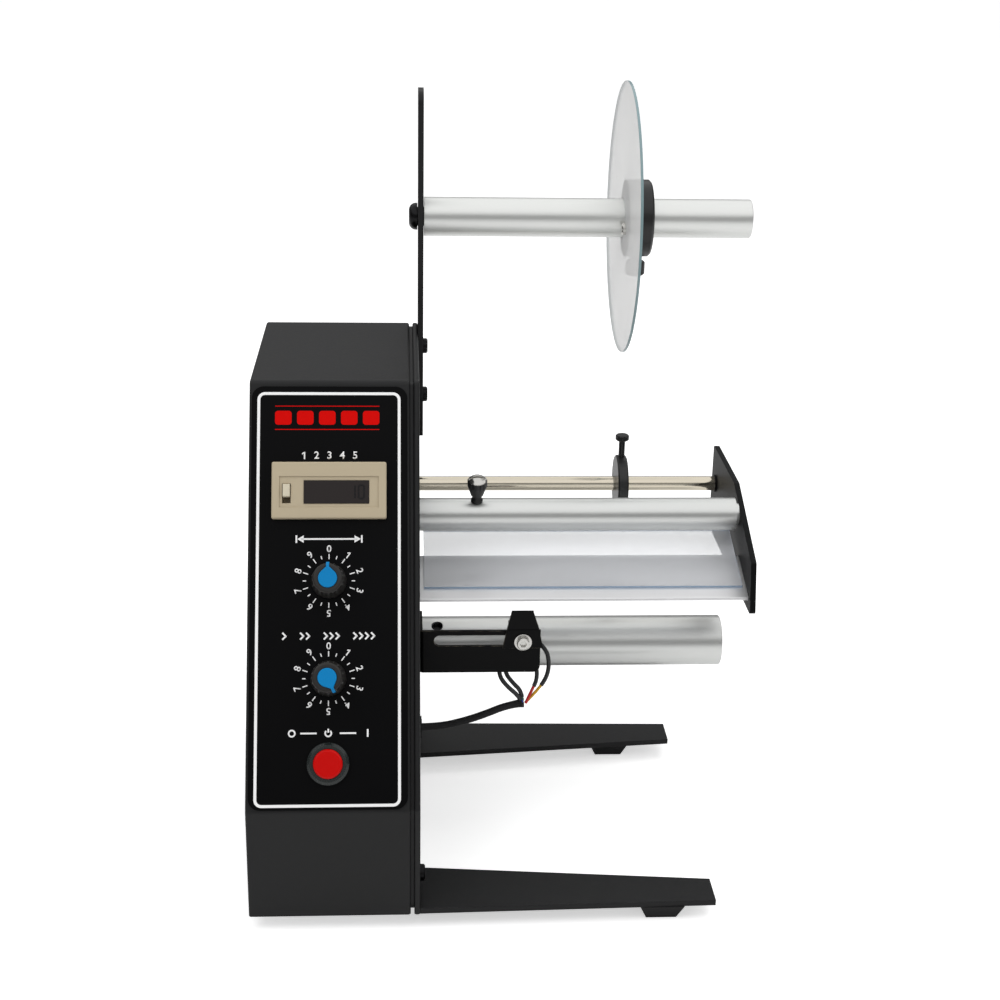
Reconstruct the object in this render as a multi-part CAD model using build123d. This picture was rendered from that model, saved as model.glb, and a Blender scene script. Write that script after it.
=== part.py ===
from build123d import *
import os
from math import acos, atan2, cos, pi, radians, sin, tan

# Label dispenser: a case with a tilted control panel and, on its right, a label roll
# spindle, a guide rod and tube, a peel plate, a sensor and a motor-driven winder.
#
# Millimetres, +Z up, +Y towards the back, +X to the right. The machine is laid out from the
# side plate's outer face (X = 0), the case's front face (Y = 0) and the table (Z = 0). It is
# moved at the end, so that the origin is at the bottom centre of the whole machine.

# Driving dimensions
CASE_W = 72.0
CASE_D = 185.0
CASE_TOP = 216.0
CASE_BASE = 7.0
BEND_Z = 57.0
PANEL_TOP_Y = 86.0
SIDE_T = 2.5
COVER_T = 1.5
GROOVE = 1.5

BACK_TO_SPINDLE = 11.0
SPINDLE_Y = CASE_D - BACK_TO_SPINDLE
SPINDLE_Z = 269.0
SPINDLE_D = 18.0
SPINDLE_END = 155.4
DISC_D = 124.6

BACK_TO_ROD = 19.0
ROD_Y = CASE_D - BACK_TO_ROD
ROD_Z = 140.0
ROD_D = 7.0
TUBE_Y = 109.0
TUBE_Z = 146.0
TUBE_D = 15.0
END_X = 146.0
END_T = 2.5
NOSE_Y = 72.5
NOSE_Z = 119.9

BACK_TO_WINDER = 55.0
WIND_Y = CASE_D - BACK_TO_WINDER
WIND_Z = 72.5
WIND_D = 24.0
WIND_END = 145.4
SHAFT_D = 8.0
BRACKET_Y = 70.0

LEG_LENGTH = 126.5
LEG_T = 2.5

# Clearances: a running fit, a sliding gap, a drilled hole's room, a sheet's room
FIT = 0.05
SLIP = 0.3
DRILL = 0.1
ROOM = 0.2

# How far a hole is cut: through one wall, and through several
CUT = 12.0
DEEP_CUT = 30.0

# Where the finished machine's origin lies in the layout
LEFT = -CASE_W
BACK = SPINDLE_Y + DISC_D / 2
ORIGIN = Pos(-(LEFT + SPINDLE_END) / 2, -BACK / 2, 0)

SLOPE = atan2(PANEL_TOP_Y, CASE_TOP - BEND_Z)
PANEL = Plane(origin=(0, 0, BEND_Z), x_dir=(1, 0, 0), z_dir=(0, -cos(SLOPE), sin(SLOPE)))
COVER_RIGHT = -SIDE_T - GROOVE

TO_RIGHT = Rot(0, 90, 0)
TO_LEFT = Rot(0, -90, 0)
TO_BACK = Rot(-90, 0, 0)
TO_FRONT = Rot(90, 0, 0)
TO_TABLE = Rot(180, 0, 0)
UPWARD = (Align.CENTER, Align.CENTER, Align.MIN)
DOWNWARD = (Align.CENTER, Align.CENTER, Align.MAX)


# Shared shapes

def bar(radius, x, y, z):
    """Round bar along X, between the two X values."""
    return Pos((x[0] + x[1]) / 2, y, z) * TO_RIGHT * Cylinder(radius, x[1] - x[0])


def tube(radius, wall, x, y, z):
    """Tube along X."""
    return bar(radius, x, y, z) - bar(radius - wall, (x[0] - 1, x[1] + 1), y, z)


def block(x, y, z):
    """Box between three pairs of limits."""
    size = [high - low for low, high in (x, y, z)]
    centre = [(high + low) / 2 for low, high in (x, y, z)]
    return Pos(*centre) * Box(*size)


def upright(outline, x):
    """A side-view outline (Y across, Z up) as a plate between two X values."""
    return extrude(Plane.YZ.offset(x[0]) * outline, amount=x[1] - x[0], dir=(1, 0, 0))


def polygon(*points):
    return Polygon(*points, align=None)


def on_panel(x, s, out=0.0):
    """A place on the sloping panel: x across, s up the slope, out away from it."""
    return PANEL.location * Pos(x, s, out)


def screw(head_d, head_t, shank_d, length, edge=0.6):
    """Button-head screw: its head stands on Z = 0 and its shank points down."""
    head = Cylinder(head_d / 2, head_t, align=UPWARD)
    head = chamfer(head.edges().sort_by(Axis.Z)[-1], edge)
    return head + Cylinder(shank_d / 2, length, align=DOWNWARD)


def hex_nut(flats, height, bore):
    """Nut that stands on Z = 0."""
    outline = RegularPolygon(flats / 2, 6, major_radius=False) - Circle(bore / 2)
    return extrude(outline, amount=height)


def fluted(body, radius, count, depth, low, high):
    """A round head with grip flutes cut along Z."""
    cutter = Pos(0, 0, low) * Cylinder(depth, high - low, align=UPWARD)
    return body - [place * cutter for place in PolarLocations(radius, count)]


def group(*solids):
    """Separate solids that share one node."""
    return Compound(children=[part for item in solids for part in item.solids()])


# Fasteners

M3_D = 3.0
M3_HEAD_D = 5.5
M3_HEAD_T = 1.9
M3_LENGTH = 6.0
M4_D = 4.0
M4_HEAD_D = 7.2
M4_HEAD_T = 2.2
M4_LENGTH = 10.5
M4_FLAT_D = 7.6
M4_FLAT_T = 1.9
M4_HEX = 2.5
M4_HEX_DEPTH = 1.2
M4_NUT_FLATS = 7.0
M4_NUT_T = 3.0


def m3_screw():
    return screw(M3_HEAD_D, M3_HEAD_T, M3_D, M3_LENGTH)


def m4_socket():
    return extrude(RegularPolygon(M4_HEX / 2, 6, major_radius=False), amount=M4_HEX_DEPTH)


def m4_screw():
    return screw(M4_HEAD_D, M4_HEAD_T, M4_D, M4_LENGTH) - Pos(0, 0, M4_HEAD_T - M4_HEX_DEPTH) * m4_socket()


def m4_flat_head(grow=0.0):
    """Countersunk head, its flat top at Z = 0."""
    return Cone(M4_D / 2 + grow, M4_FLAT_D / 2 + grow, M4_FLAT_T, align=DOWNWARD)


def m4_flat_screw():
    shank = Cylinder(M4_D / 2, M4_LENGTH, align=DOWNWARD)
    return m4_flat_head() + shank - Pos(0, 0, -M4_HEX_DEPTH) * m4_socket()


def m3_hole(depth=DEEP_CUT):
    return Cylinder(M3_D / 2 + DRILL, depth)


def m4_hole(depth=DEEP_CUT):
    return Cylinder(M4_D / 2 + DRILL, depth)


# Case: cover, side plate, side frame behind the groove, bottom plate

EDGE_R = 3.0
COVER_EDGE_R = 1.2
PLATE_EDGE_R = 1.0
FRAME_T = 1.5
FRAME_DEPTH = 8.0
FRAME_FLANGE = 15.0
BASE_LIFT = 3.5
BASE_T = 1.5
BASE_LIP = 9.0
CONTROL_X = -38.0
COUNTER_S = 133.2
LENGTH_S = 95.3
SPEED_S = 54.7
POWER_S = 19.7
COUNTER_CUT = (45.0, 22.2)
POT_BUSH_D = 6.8
BUTTON_BODY_D = 15.8
COVER_SCREW_X = -8.0
COVER_SCREW_Z = (60.0, 190.0)
LIP_SCREW_X = (-60.0, -24.0)
BASE_SCREW_IN = 70.0

FRAME_INSET = COVER_T + ROOM
FRAME_BASE = CASE_BASE + BASE_LIFT
FRAME_LEFT = COVER_RIGHT - FRAME_DEPTH
LIP_SCREW_Z = FRAME_BASE + BASE_LIP / 2
BASE_SCREW_Y = (BASE_SCREW_IN, CASE_D - BASE_SCREW_IN)


def case_outline(inset=0.0, base=CASE_BASE, corner=EDGE_R):
    """The case's side view, set in by a wall or a gap."""
    bend_z = BEND_Z - inset * tan(SLOPE / 2)
    top_y = PANEL_TOP_Y + inset * (1 - sin(SLOPE)) / cos(SLOPE)
    top_z = CASE_TOP - inset
    back_y = CASE_D - inset
    bends = [(inset, bend_z), (top_y, top_z), (back_y, top_z)]
    outline = polygon((inset, base), *bends, (back_y, base))
    return fillet([vertex for vertex in outline.vertices() if vertex.Y > base], corner)


def panel_holes():
    """What the panel's controls pass through: counter, two knobs, power button."""
    counter = on_panel(CONTROL_X, COUNTER_S) * Box(*COUNTER_CUT, CUT)
    pot = Cylinder(POT_BUSH_D / 2 + DRILL, CUT)
    button = Cylinder(BUTTON_BODY_D / 2 + DRILL, CUT)
    return [
        counter,
        on_panel(CONTROL_X, LENGTH_S) * pot,
        on_panel(CONTROL_X, SPEED_S) * pot,
        on_panel(CONTROL_X, POWER_S) * button,
    ]


def cover_screw_places():
    """Screws through the cover's back wall, heads towards the back."""
    frame = [Pos(COVER_SCREW_X, CASE_D, z) * TO_BACK for z in COVER_SCREW_Z]
    lip = [Pos(x, CASE_D, LIP_SCREW_Z) * TO_BACK for x in LIP_SCREW_X]
    return frame + lip


def base_screw_places():
    """Screws up through the bottom plate into the side frame."""
    return [Pos(COVER_SCREW_X, y, FRAME_BASE - BASE_T) * TO_TABLE for y in BASE_SCREW_Y]


def side_edges(shape):
    """The edges of a case shape's two side faces, its bottom edges left out."""
    faces = shape.faces().filter_by(Axis.X)
    return [edge for face in faces for edge in face.edges().sort_by(Axis.Z)[1:]]


def case_cover():
    """Bent and welded sheet: left side, front, slope, top and back."""
    shell = upright(case_outline(), (LEFT, COVER_RIGHT))
    shell = fillet(side_edges(shell), COVER_EDGE_R)
    inside = case_outline(COVER_T, CASE_BASE - 1, EDGE_R - COVER_T)
    shell -= upright(inside, (LEFT + COVER_T, COVER_RIGHT + 1))
    inlet = Pos(INLET_X, CASE_D, INLET_Z) * Box(INLET_BODY[0] + 2 * ROOM, CUT, INLET_BODY[1] + 2 * ROOM)
    holes = [place * m3_hole() for place in cover_screw_places() + inlet_screw_places()]
    return shell - panel_holes() - inlet - holes


def leg_slots(x, z):
    """Room for the front and the rear leg's tab in a sheet."""
    front = block(x, (LEG_TAB_Y[0] - ROOM, LEG_TAB_Y[1] + ROOM), z)
    return [front, mirror(front, Plane.XZ.offset(-MACHINE_MIDDLE))]


def upturn_slots():
    """Room for the tabs' upturned ends in the side frame and the bottom plate."""
    return leg_slots((COVER_RIGHT - LEG_T - ROOM, COVER_RIGHT), (CASE_BASE - 1, FRAME_BASE + FRAME_T + ROOM))


def side_plate():
    """Flat plate that carries the case and everything to its right."""
    plate = upright(case_outline(), (-SIDE_T, 0))
    plate = fillet(side_edges(plate), PLATE_EDGE_R)
    notches = leg_slots((-SIDE_T - 1, 1), (CASE_BASE - 1, CASE_BASE + LEG_T + ROOM))
    rounds = [
        bar(BEARING_D / 2, (-SIDE_T - 1, 1), WIND_Y, WIND_Z),
        bar(ROD_THREAD_D / 2 + DRILL, (-SIDE_T - 1, 1), ROD_Y, ROD_Z),
        bar(STUB_THREAD_D / 2 + DRILL, (-SIDE_T - 1, 1), TUBE_Y, TUBE_Z),
        bar(GROMMET_NECK_D / 2, (-SIDE_T - 1, 1), GROMMET_Y, GROMMET_Z),
    ]
    m3 = [place * m3_hole(CUT) for place in peel_screw_places()[:2] + bracket_screw_places()]
    m4 = [place * m4_hole() for place in arm_screw_places() + leg_screw_places()]
    return plate - notches - rounds - m3 - m4


def side_frame():
    """L-section rim welded inside the side plate; the cover closes over it."""
    base = FRAME_BASE
    outer = case_outline(FRAME_INSET, base, EDGE_R - FRAME_INSET)
    inner = case_outline(FRAME_INSET + FRAME_T, base + FRAME_T, 0.5)
    opening = case_outline(FRAME_INSET + FRAME_FLANGE, base + FRAME_FLANGE, 0.5)
    rim = upright(outer, (FRAME_LEFT, -SIDE_T)) - upright(inner, (FRAME_LEFT - 1, -SIDE_T + 1))
    flange = upright(outer, (-SIDE_T - FRAME_T, -SIDE_T)) - upright(opening, (-SIDE_T - FRAME_T - 1, 0))
    frame = rim + flange
    nut_room = bar(ROD_NUT_FLATS / 2 / cos(pi / 6) + ROOM, (-SIDE_T - FRAME_T - 1, -SIDE_T), ROD_Y, ROD_Z)
    m3 = [place * m3_hole() for place in cover_screw_places()[:2] + base_screw_places()]
    m4 = [place * m4_hole() for place in arm_screw_places() + leg_screw_places()]
    return frame - upturn_slots() - nut_room - m3 - m4


def bottom_plate():
    """Tray set up inside the cover, with a lip along its front, left and back."""
    low = FRAME_BASE - BASE_T
    x = (LEFT + COVER_T + ROOM, COVER_RIGHT - ROOM)
    y = (COVER_T + ROOM, CASE_D - COVER_T - ROOM)
    lip_x = (x[0], FRAME_LEFT - ROOM)
    tray = block(x, y, (low, FRAME_BASE))
    walls = block(lip_x, y, (low, FRAME_BASE + BASE_LIP))
    hollow = (y[0] + BASE_T, y[1] - BASE_T)
    walls -= block((lip_x[0] + BASE_T, lip_x[1] + 1), hollow, (FRAME_BASE, FRAME_BASE + BASE_LIP + 1))
    holes = [place * m3_hole(CUT) for place in cover_screw_places()[2:] + base_screw_places()]
    return tray + walls - upturn_slots() - holes


# Control panel

OVERLAY_T = 0.8
OVERLAY_X = (-70.8, -5.2)
OVERLAY_S = (1.0, 178.0)
OVERLAY_R = 5.0


def panel_overlay():
    """Printed plastic sheet on the slope."""
    outline = RectangleRounded(OVERLAY_X[1] - OVERLAY_X[0], OVERLAY_S[1] - OVERLAY_S[0], OVERLAY_R)
    place = on_panel(sum(OVERLAY_X) / 2, sum(OVERLAY_S) / 2)
    return place * extrude(outline, amount=OVERLAY_T) - panel_holes()


COUNTER_FACE = (48.0, 24.0)
COUNTER_PROUD = 3.5
COUNTER_DEPTH = 46.0
COUNTER_R = 0.8
DISPLAY = (41.5, 13.2)
DISPLAY_DEEP = 0.5
DISPLAY_DROP = -0.8
WINDOW = (27.2, 9.7)
WINDOW_T = 1.2
WINDOW_X = 3.1
WINDOW_PROUD = 0.3
KEY = (3.0, 5.3)
KEY_X = -17.8
KEY_RISE = 0.6
KEY_LENGTH = 6.0
KEY_PROUD = 0.9
KEY_TRAVEL = 1.0
KEY_SLOT_BELOW = 2.4
CLIP_RIM = 2.2
CLIP_DEPTH = 12.0

COUNTER_FRONT = OVERLAY_T + COUNTER_PROUD
DISPLAY_FLOOR = COUNTER_FRONT - DISPLAY_DEEP


def on_counter(x=0.0, s=0.0, out=0.0):
    return on_panel(CONTROL_X + x, COUNTER_S + s, out)


def counter_body():
    """Moulded counter: bezel in front of the panel, case behind it."""
    bezel = Pos(0, 0, OVERLAY_T) * Box(*COUNTER_FACE, COUNTER_PROUD, align=UPWARD)
    bezel = fillet(bezel.edges().filter_by(Axis.Z) + bezel.faces().sort_by(Axis.Z)[-1].edges(), COUNTER_R)
    width, height = (size - 2 * ROOM for size in COUNTER_CUT)
    case = Pos(0, 0, OVERLAY_T) * Box(width, height, COUNTER_DEPTH, align=DOWNWARD)
    display = Pos(0, DISPLAY_DROP, DISPLAY_FLOOR) * Box(*DISPLAY, CUT, align=UPWARD)
    pocket_w, pocket_h = WINDOW[0] + 2 * DRILL, WINDOW[1] + 2 * DRILL
    window_floor = DISPLAY_FLOOR + WINDOW_PROUD - WINDOW_T
    pocket = Pos(WINDOW_X, DISPLAY_DROP, window_floor) * Box(pocket_w, pocket_h, CUT, align=UPWARD)
    slot_h = KEY[1] + KEY_SLOT_BELOW + 2 * SLIP
    slot_y = DISPLAY_DROP + KEY_RISE - KEY_SLOT_BELOW / 2
    slot_floor = COUNTER_FRONT + KEY_PROUD - KEY_LENGTH - KEY_TRAVEL - SLIP
    slot = Pos(KEY_X, slot_y, slot_floor) * Box(KEY[0] + 2 * SLIP, slot_h, DEEP_CUT, align=UPWARD)
    return on_counter() * (bezel + case - display - pocket - slot)


def counter_window():
    """Smoked lens over the digits."""
    lens = Box(*WINDOW, WINDOW_T, align=DOWNWARD)
    return on_counter(WINDOW_X, DISPLAY_DROP, DISPLAY_FLOOR + WINDOW_PROUD) * lens


def counter_reset_key():
    key = Box(*KEY, KEY_LENGTH, align=DOWNWARD)
    key = fillet(key.faces().sort_by(Axis.Z)[-1].edges(), 0.4)
    return on_counter(KEY_X, DISPLAY_DROP + KEY_RISE, COUNTER_FRONT + KEY_PROUD) * key


def counter_clip():
    """Frame that grips the counter from behind and pulls its bezel to the panel."""
    width, height = (size - ROOM for size in COUNTER_CUT)
    ring = Rectangle(width + 2 * CLIP_RIM, height + 2 * CLIP_RIM) - Rectangle(width, height)
    return on_counter(0, 0, -COVER_T - CLIP_DEPTH) * extrude(ring, amount=CLIP_DEPTH)


# Knobs on potentiometers

KNOB_D = 14.9
KNOB_TOP_D = 12.4
KNOB_H = 13.0
KNOB_OFF = 0.5
KNOB_EDGE = 0.9
KNOB_RECESS_D = 12.4
KNOB_RECESS = 2.6
CAP_R = 3.9
CAP_REACH = 5.3
CAP_T = 1.2
TAIL_W = 1.3
TAIL_PROUD = 0.55
TAIL_DROP = 3.0
CAP_SEAT = 0.5
LENGTH_AT = 0.0
SPEED_AT = 154.0
POT_D = 16.5
POT_DEPTH = 9.0
POT_SHAFT_D = 6.0
POT_SHAFT_H = 11.0
POT_NUT_FLATS = 10.0
POT_NUT_T = 2.0

KNOB_FOOT = OVERLAY_T + KNOB_OFF
POT_PLACES = (on_panel(CONTROL_X, LENGTH_S), on_panel(CONTROL_X, SPEED_S))


def pointer_outline(grow=0.0):
    """Teardrop: a circle and the two tangents from its tip."""
    radius = CAP_R + grow
    reach = CAP_REACH + grow
    touch = acos(radius / reach)
    side = (radius * sin(touch), radius * cos(touch))
    drop = Circle(radius) + polygon((0, 0), side, (0, reach), (-side[0], side[1]))
    return drop


def pointer_tail(grow=0.0):
    """Narrow tail of the pointer, bent down over the knob's rounded edge."""
    rim = KNOB_TOP_D / 2
    inner = rim - KNOB_EDGE
    low = KNOB_H - CAP_SEAT - grow
    foot = KNOB_H - TAIL_DROP - grow
    side = polygon(
        (CAP_R, low), (CAP_R, KNOB_H + TAIL_PROUD), (inner, KNOB_H + TAIL_PROUD),
        (rim + TAIL_PROUD, KNOB_H - KNOB_EDGE), (rim + TAIL_PROUD, foot),
        (inner - grow, foot), (inner - grow, low),
    )
    half = TAIL_W / 2 + grow
    return upright(side, (-half, half))


def knob():
    """Tapered round knob with a seat for its pointer cap and a recess for the nut."""
    body = Cone(KNOB_D / 2, KNOB_TOP_D / 2, KNOB_H, align=UPWARD)
    body = fillet(body.edges().sort_by(Axis.Z)[-1], KNOB_EDGE)
    body -= Cylinder(KNOB_RECESS_D / 2, KNOB_RECESS, align=UPWARD)
    body -= Cylinder(POT_SHAFT_D / 2, POT_SHAFT_H - KNOB_FOOT, align=UPWARD)
    body -= Pos(0, 0, KNOB_H - CAP_SEAT) * extrude(pointer_outline(DRILL), amount=CAP_SEAT)
    return Pos(0, 0, KNOB_FOOT) * (body - pointer_tail(DRILL))


def knob_cap():
    cap = extrude(pointer_outline(), amount=CAP_T)
    cap = fillet(cap.faces().sort_by(Axis.Z)[-1].edges(), 0.35)
    return Pos(0, 0, KNOB_FOOT) * (Pos(0, 0, KNOB_H - CAP_SEAT) * cap + pointer_tail())


def pot_shaft():
    low = -COVER_T - POT_DEPTH + 1
    return Pos(0, 0, low) * Cylinder(POT_SHAFT_D / 2, POT_SHAFT_H - low, align=UPWARD)


def potentiometers():
    """Bodies with their threaded bushes, and the nuts that hold them to the panel."""
    body = Pos(0, 0, -COVER_T) * Cylinder(POT_D / 2, POT_DEPTH, align=DOWNWARD)
    bush_top = KNOB_FOOT + KNOB_RECESS - SLIP
    bush = Pos(0, 0, -COVER_T) * Cylinder(POT_BUSH_D / 2, COVER_T + bush_top, align=UPWARD)
    floor = -COVER_T - POT_DEPTH + 1 - SLIP
    bore = Pos(0, 0, floor) * Cylinder(POT_SHAFT_D / 2 + FIT, DEEP_CUT, align=UPWARD)
    nut = Pos(0, 0, OVERLAY_T) * hex_nut(POT_NUT_FLATS, POT_NUT_T, POT_BUSH_D + 2 * DRILL)
    return group(*[place * shape for place in POT_PLACES for shape in (body + bush - bore, nut)])


# Power button

BUTTON_BEZEL_D = 17.5
BUTTON_BEZEL_T = 2.6
BUTTON_DEPTH = 26.0
BUTTON_CAP_D = 12.2
BUTTON_CAP_PROUD = 1.3
BUTTON_CAP_L = 7.0
BUTTON_TRAVEL = 3.0
BUTTON_NUT_D = 20.0
BUTTON_NUT_T = 3.0

BUTTON_FACE = OVERLAY_T + BUTTON_BEZEL_T
BUTTON_TOP = BUTTON_FACE + BUTTON_CAP_PROUD


def power_button_body():
    """Round bezel and barrel, with the ring nut behind the panel."""
    bezel = Pos(0, 0, OVERLAY_T) * Cylinder(BUTTON_BEZEL_D / 2, BUTTON_BEZEL_T, align=UPWARD)
    bezel = chamfer(bezel.edges().sort_by(Axis.Z)[-1], 1.2)
    barrel = Pos(0, 0, OVERLAY_T) * Cylinder(BUTTON_BODY_D / 2, BUTTON_DEPTH, align=DOWNWARD)
    floor = BUTTON_TOP - BUTTON_CAP_L - BUTTON_TRAVEL - SLIP
    bore = Pos(0, 0, floor) * Cylinder(BUTTON_CAP_D / 2 + FIT, DEEP_CUT, align=UPWARD)
    nut = Pos(0, 0, -COVER_T) * Cylinder(BUTTON_NUT_D / 2, BUTTON_NUT_T, align=DOWNWARD)
    nut -= Cylinder(BUTTON_BODY_D / 2 + DRILL, DEEP_CUT)
    place = on_panel(CONTROL_X, POWER_S)
    return group(place * (bezel + barrel - bore), place * nut)


def power_button_cap():
    cap = Cylinder(BUTTON_CAP_D / 2, BUTTON_CAP_L, align=DOWNWARD)
    cap = fillet(cap.edges().sort_by(Axis.Z)[-1], 1.0)
    return on_panel(CONTROL_X, POWER_S, BUTTON_TOP) * cap


# Spindle: arm, bolt, tube, roll disc and hub

ARM_T = 2.5
ARM_W = 20.0
ARM_BOTTOM = 165.2
ARM_TOP = 327.0
ARM_CORNER_R = 6.0
ARM_SCREW_Z = (183.0, 207.0)
SPINDLE_WALL = 1.5
BOLT_D = 8.8
BOLT_HEAD_D = 12.4
BOLT_HEAD_T = 3.9
BOLT_NECK = 0.3
BOLT_THREAD_D = 6.0
BOLT_THREAD = 15.0
PLUG_L = 20.0
DISC_T = 1.2
DISC_X = 95.3
HUB_D = 35.5
HUB_W = 11.6
HUB_EDGE = 1.0
DISC_SCREW_R = 13.0
DISC_SCREW_ANGLE = -11.0

SPINDLE_START = ARM_T + SLIP
HUB_X = DISC_X + DISC_T
HUB_SCREW_X = HUB_X + HUB_W / 2
SPINDLE_HOLE_D = SPINDLE_D + 2 * FIT


def spindle_arm():
    """Upright bar on the outside of the side plate, rounded at its top corners."""
    height = ARM_TOP - ARM_BOTTOM
    outline = Pos(SPINDLE_Y, (ARM_TOP + ARM_BOTTOM) / 2) * Rectangle(ARM_W, height)
    outline = fillet(outline.vertices().sort_by(Axis.Y)[-2:], ARM_CORNER_R)
    arm = upright(outline, (0, ARM_T))
    arm -= bar(BOLT_D / 2 + FIT, (-1, ARM_T + 1), SPINDLE_Y, SPINDLE_Z)
    return arm - [place * m4_hole() for place in arm_screw_places()]


def arm_screw_places():
    return [Pos(ARM_T, SPINDLE_Y, z) * TO_RIGHT for z in ARM_SCREW_Z]


def spindle_bolt():
    """Dome-headed shoulder bolt that turns in the arm and is screwed into the plug."""
    head = Pos(-BOLT_NECK, SPINDLE_Y, SPINDLE_Z) * TO_LEFT * Cylinder(
        BOLT_HEAD_D / 2, BOLT_HEAD_T, align=UPWARD
    )
    head = fillet(head.edges().sort_by(Axis.X)[0], BOLT_HEAD_T - 0.6)
    shoulder = bar(BOLT_D / 2, (-BOLT_NECK, SPINDLE_START), SPINDLE_Y, SPINDLE_Z)
    thread = bar(BOLT_THREAD_D / 2, (SPINDLE_START, SPINDLE_START + BOLT_THREAD), SPINDLE_Y, SPINDLE_Z)
    return head + shoulder + thread


def spindle_plug():
    """Turned plug pressed into the tube's near end."""
    radius = SPINDLE_D / 2 - SPINDLE_WALL
    plug = bar(radius, (SPINDLE_START, SPINDLE_START + PLUG_L), SPINDLE_Y, SPINDLE_Z)
    thread = (SPINDLE_START - 1, SPINDLE_START + BOLT_THREAD)
    return plug - bar(BOLT_THREAD_D / 2, thread, SPINDLE_Y, SPINDLE_Z)


def spindle_tube():
    shape = tube(SPINDLE_D / 2, SPINDLE_WALL, (SPINDLE_START, SPINDLE_END), SPINDLE_Y, SPINDLE_Z)
    return chamfer(shape.faces().sort_by(Axis.X)[-1].edges(), 0.3)


def disc_screw_places():
    """Two screws, opposite each other, that hold the disc to its hub."""
    places = []
    for angle in (DISC_SCREW_ANGLE, DISC_SCREW_ANGLE + 180):
        y = SPINDLE_Y - DISC_SCREW_R * cos(radians(angle))
        z = SPINDLE_Z + DISC_SCREW_R * sin(radians(angle))
        places.append(Pos(DISC_X, y, z) * TO_LEFT)
    return places


def roll_disc():
    """Clear side disc that keeps the label roll on the spindle."""
    disc = tube(DISC_D / 2, (DISC_D - SPINDLE_HOLE_D) / 2, (DISC_X, HUB_X), SPINDLE_Y, SPINDLE_Z)
    return disc - [place * m3_hole() for place in disc_screw_places()]


def disc_hub():
    hub = tube(HUB_D / 2, (HUB_D - SPINDLE_HOLE_D) / 2, (HUB_X, HUB_X + HUB_W), SPINDLE_Y, SPINDLE_Z)
    hub = chamfer(hub.faces().sort_by(Axis.X)[-1].outer_wire().edges(), HUB_EDGE)
    thread = Pos(HUB_SCREW_X, SPINDLE_Y, SPINDLE_Z) * Cylinder(HUB_SCREW_D / 2 + FIT, HUB_D, align=DOWNWARD)
    return hub - thread - [place * m3_hole(2 * (DISC_T + M3_LENGTH)) for place in disc_screw_places()]


def disc_screws():
    return group(*[place * m3_screw() for place in disc_screw_places()])


# Thumb screws

FLUTES = 14
FLUTE_DEPTH = 0.35
HUB_SCREW_D = 4.0
HUB_SCREW_HEAD_D = 9.1
HUB_SCREW_HEAD = 6.6
HUB_SCREW_NECK_D = 6.0
HUB_SCREW_NECK = 2.4
COLLAR_SCREW_D = 3.0
COLLAR_SCREW_HEAD_D = 6.5
COLLAR_SCREW_HEAD = 2.8
COLLAR_SCREW_NECK = 8.3
CLAMP_SCREW_D = 3.8
CLAMP_FOOT_D = 5.4
CLAMP_NECK = 3.7
CLAMP_GRIP_D = 5.6
CLAMP_HEAD_D = 8.9
CLAMP_RIM_D = 8.2
CLAMP_RIM = 11.8
CLAMP_TOP = 13.4
CLAMP_SLOT_W = 1.3
CLAMP_SLOT = 1.4
CLAMP_X = 26.2
CLAMP_LEAN = 16.0

CLAMP = Pos(CLAMP_X, TUBE_Y, TUBE_Z) * Rot(CLAMP_LEAN, 0, 0)


def hub_thumb_screw():
    """Holds the hub on the spindle; it hangs from the hub's rim."""
    rim = HUB_D / 2
    reach = rim - SPINDLE_D / 2 - SLIP
    shank = Cylinder(HUB_SCREW_D / 2, reach, align=DOWNWARD)
    neck = Pos(0, 0, SLIP) * Cylinder(HUB_SCREW_NECK_D / 2, HUB_SCREW_NECK - SLIP, align=UPWARD)
    collar = Cylinder(HUB_SCREW_D / 2, SLIP, align=UPWARD)
    head = Pos(0, 0, HUB_SCREW_NECK) * Cylinder(HUB_SCREW_HEAD_D / 2, HUB_SCREW_HEAD, align=UPWARD)
    head = chamfer(head.edges().filter_by(GeomType.CIRCLE), 0.7)
    top = HUB_SCREW_NECK + HUB_SCREW_HEAD
    head = fluted(head, HUB_SCREW_HEAD_D / 2, FLUTES, FLUTE_DEPTH, HUB_SCREW_NECK, top)
    place = Pos(HUB_SCREW_X, SPINDLE_Y, SPINDLE_Z - rim) * TO_TABLE
    return place * (shank + collar + neck + head)


def collar_thumb_screw():
    """Holds the collar on the rod."""
    rim = COLLAR_D / 2
    reach = rim - ROD_D / 2 - SLIP
    shank = Pos(0, 0, -reach) * Cylinder(COLLAR_SCREW_D / 2, reach + COLLAR_SCREW_NECK, align=UPWARD)
    head = Pos(0, 0, COLLAR_SCREW_NECK) * Cylinder(
        COLLAR_SCREW_HEAD_D / 2, COLLAR_SCREW_HEAD, align=UPWARD
    )
    head = chamfer(head.edges().filter_by(GeomType.CIRCLE), 0.5)
    top = COLLAR_SCREW_NECK + COLLAR_SCREW_HEAD
    head = fluted(head, COLLAR_SCREW_HEAD_D / 2, FLUTES, FLUTE_DEPTH, COLLAR_SCREW_NECK, top)
    return Pos(COLLAR_X + COLLAR_W / 2, ROD_Y, ROD_Z + rim) * (shank + head)


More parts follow.
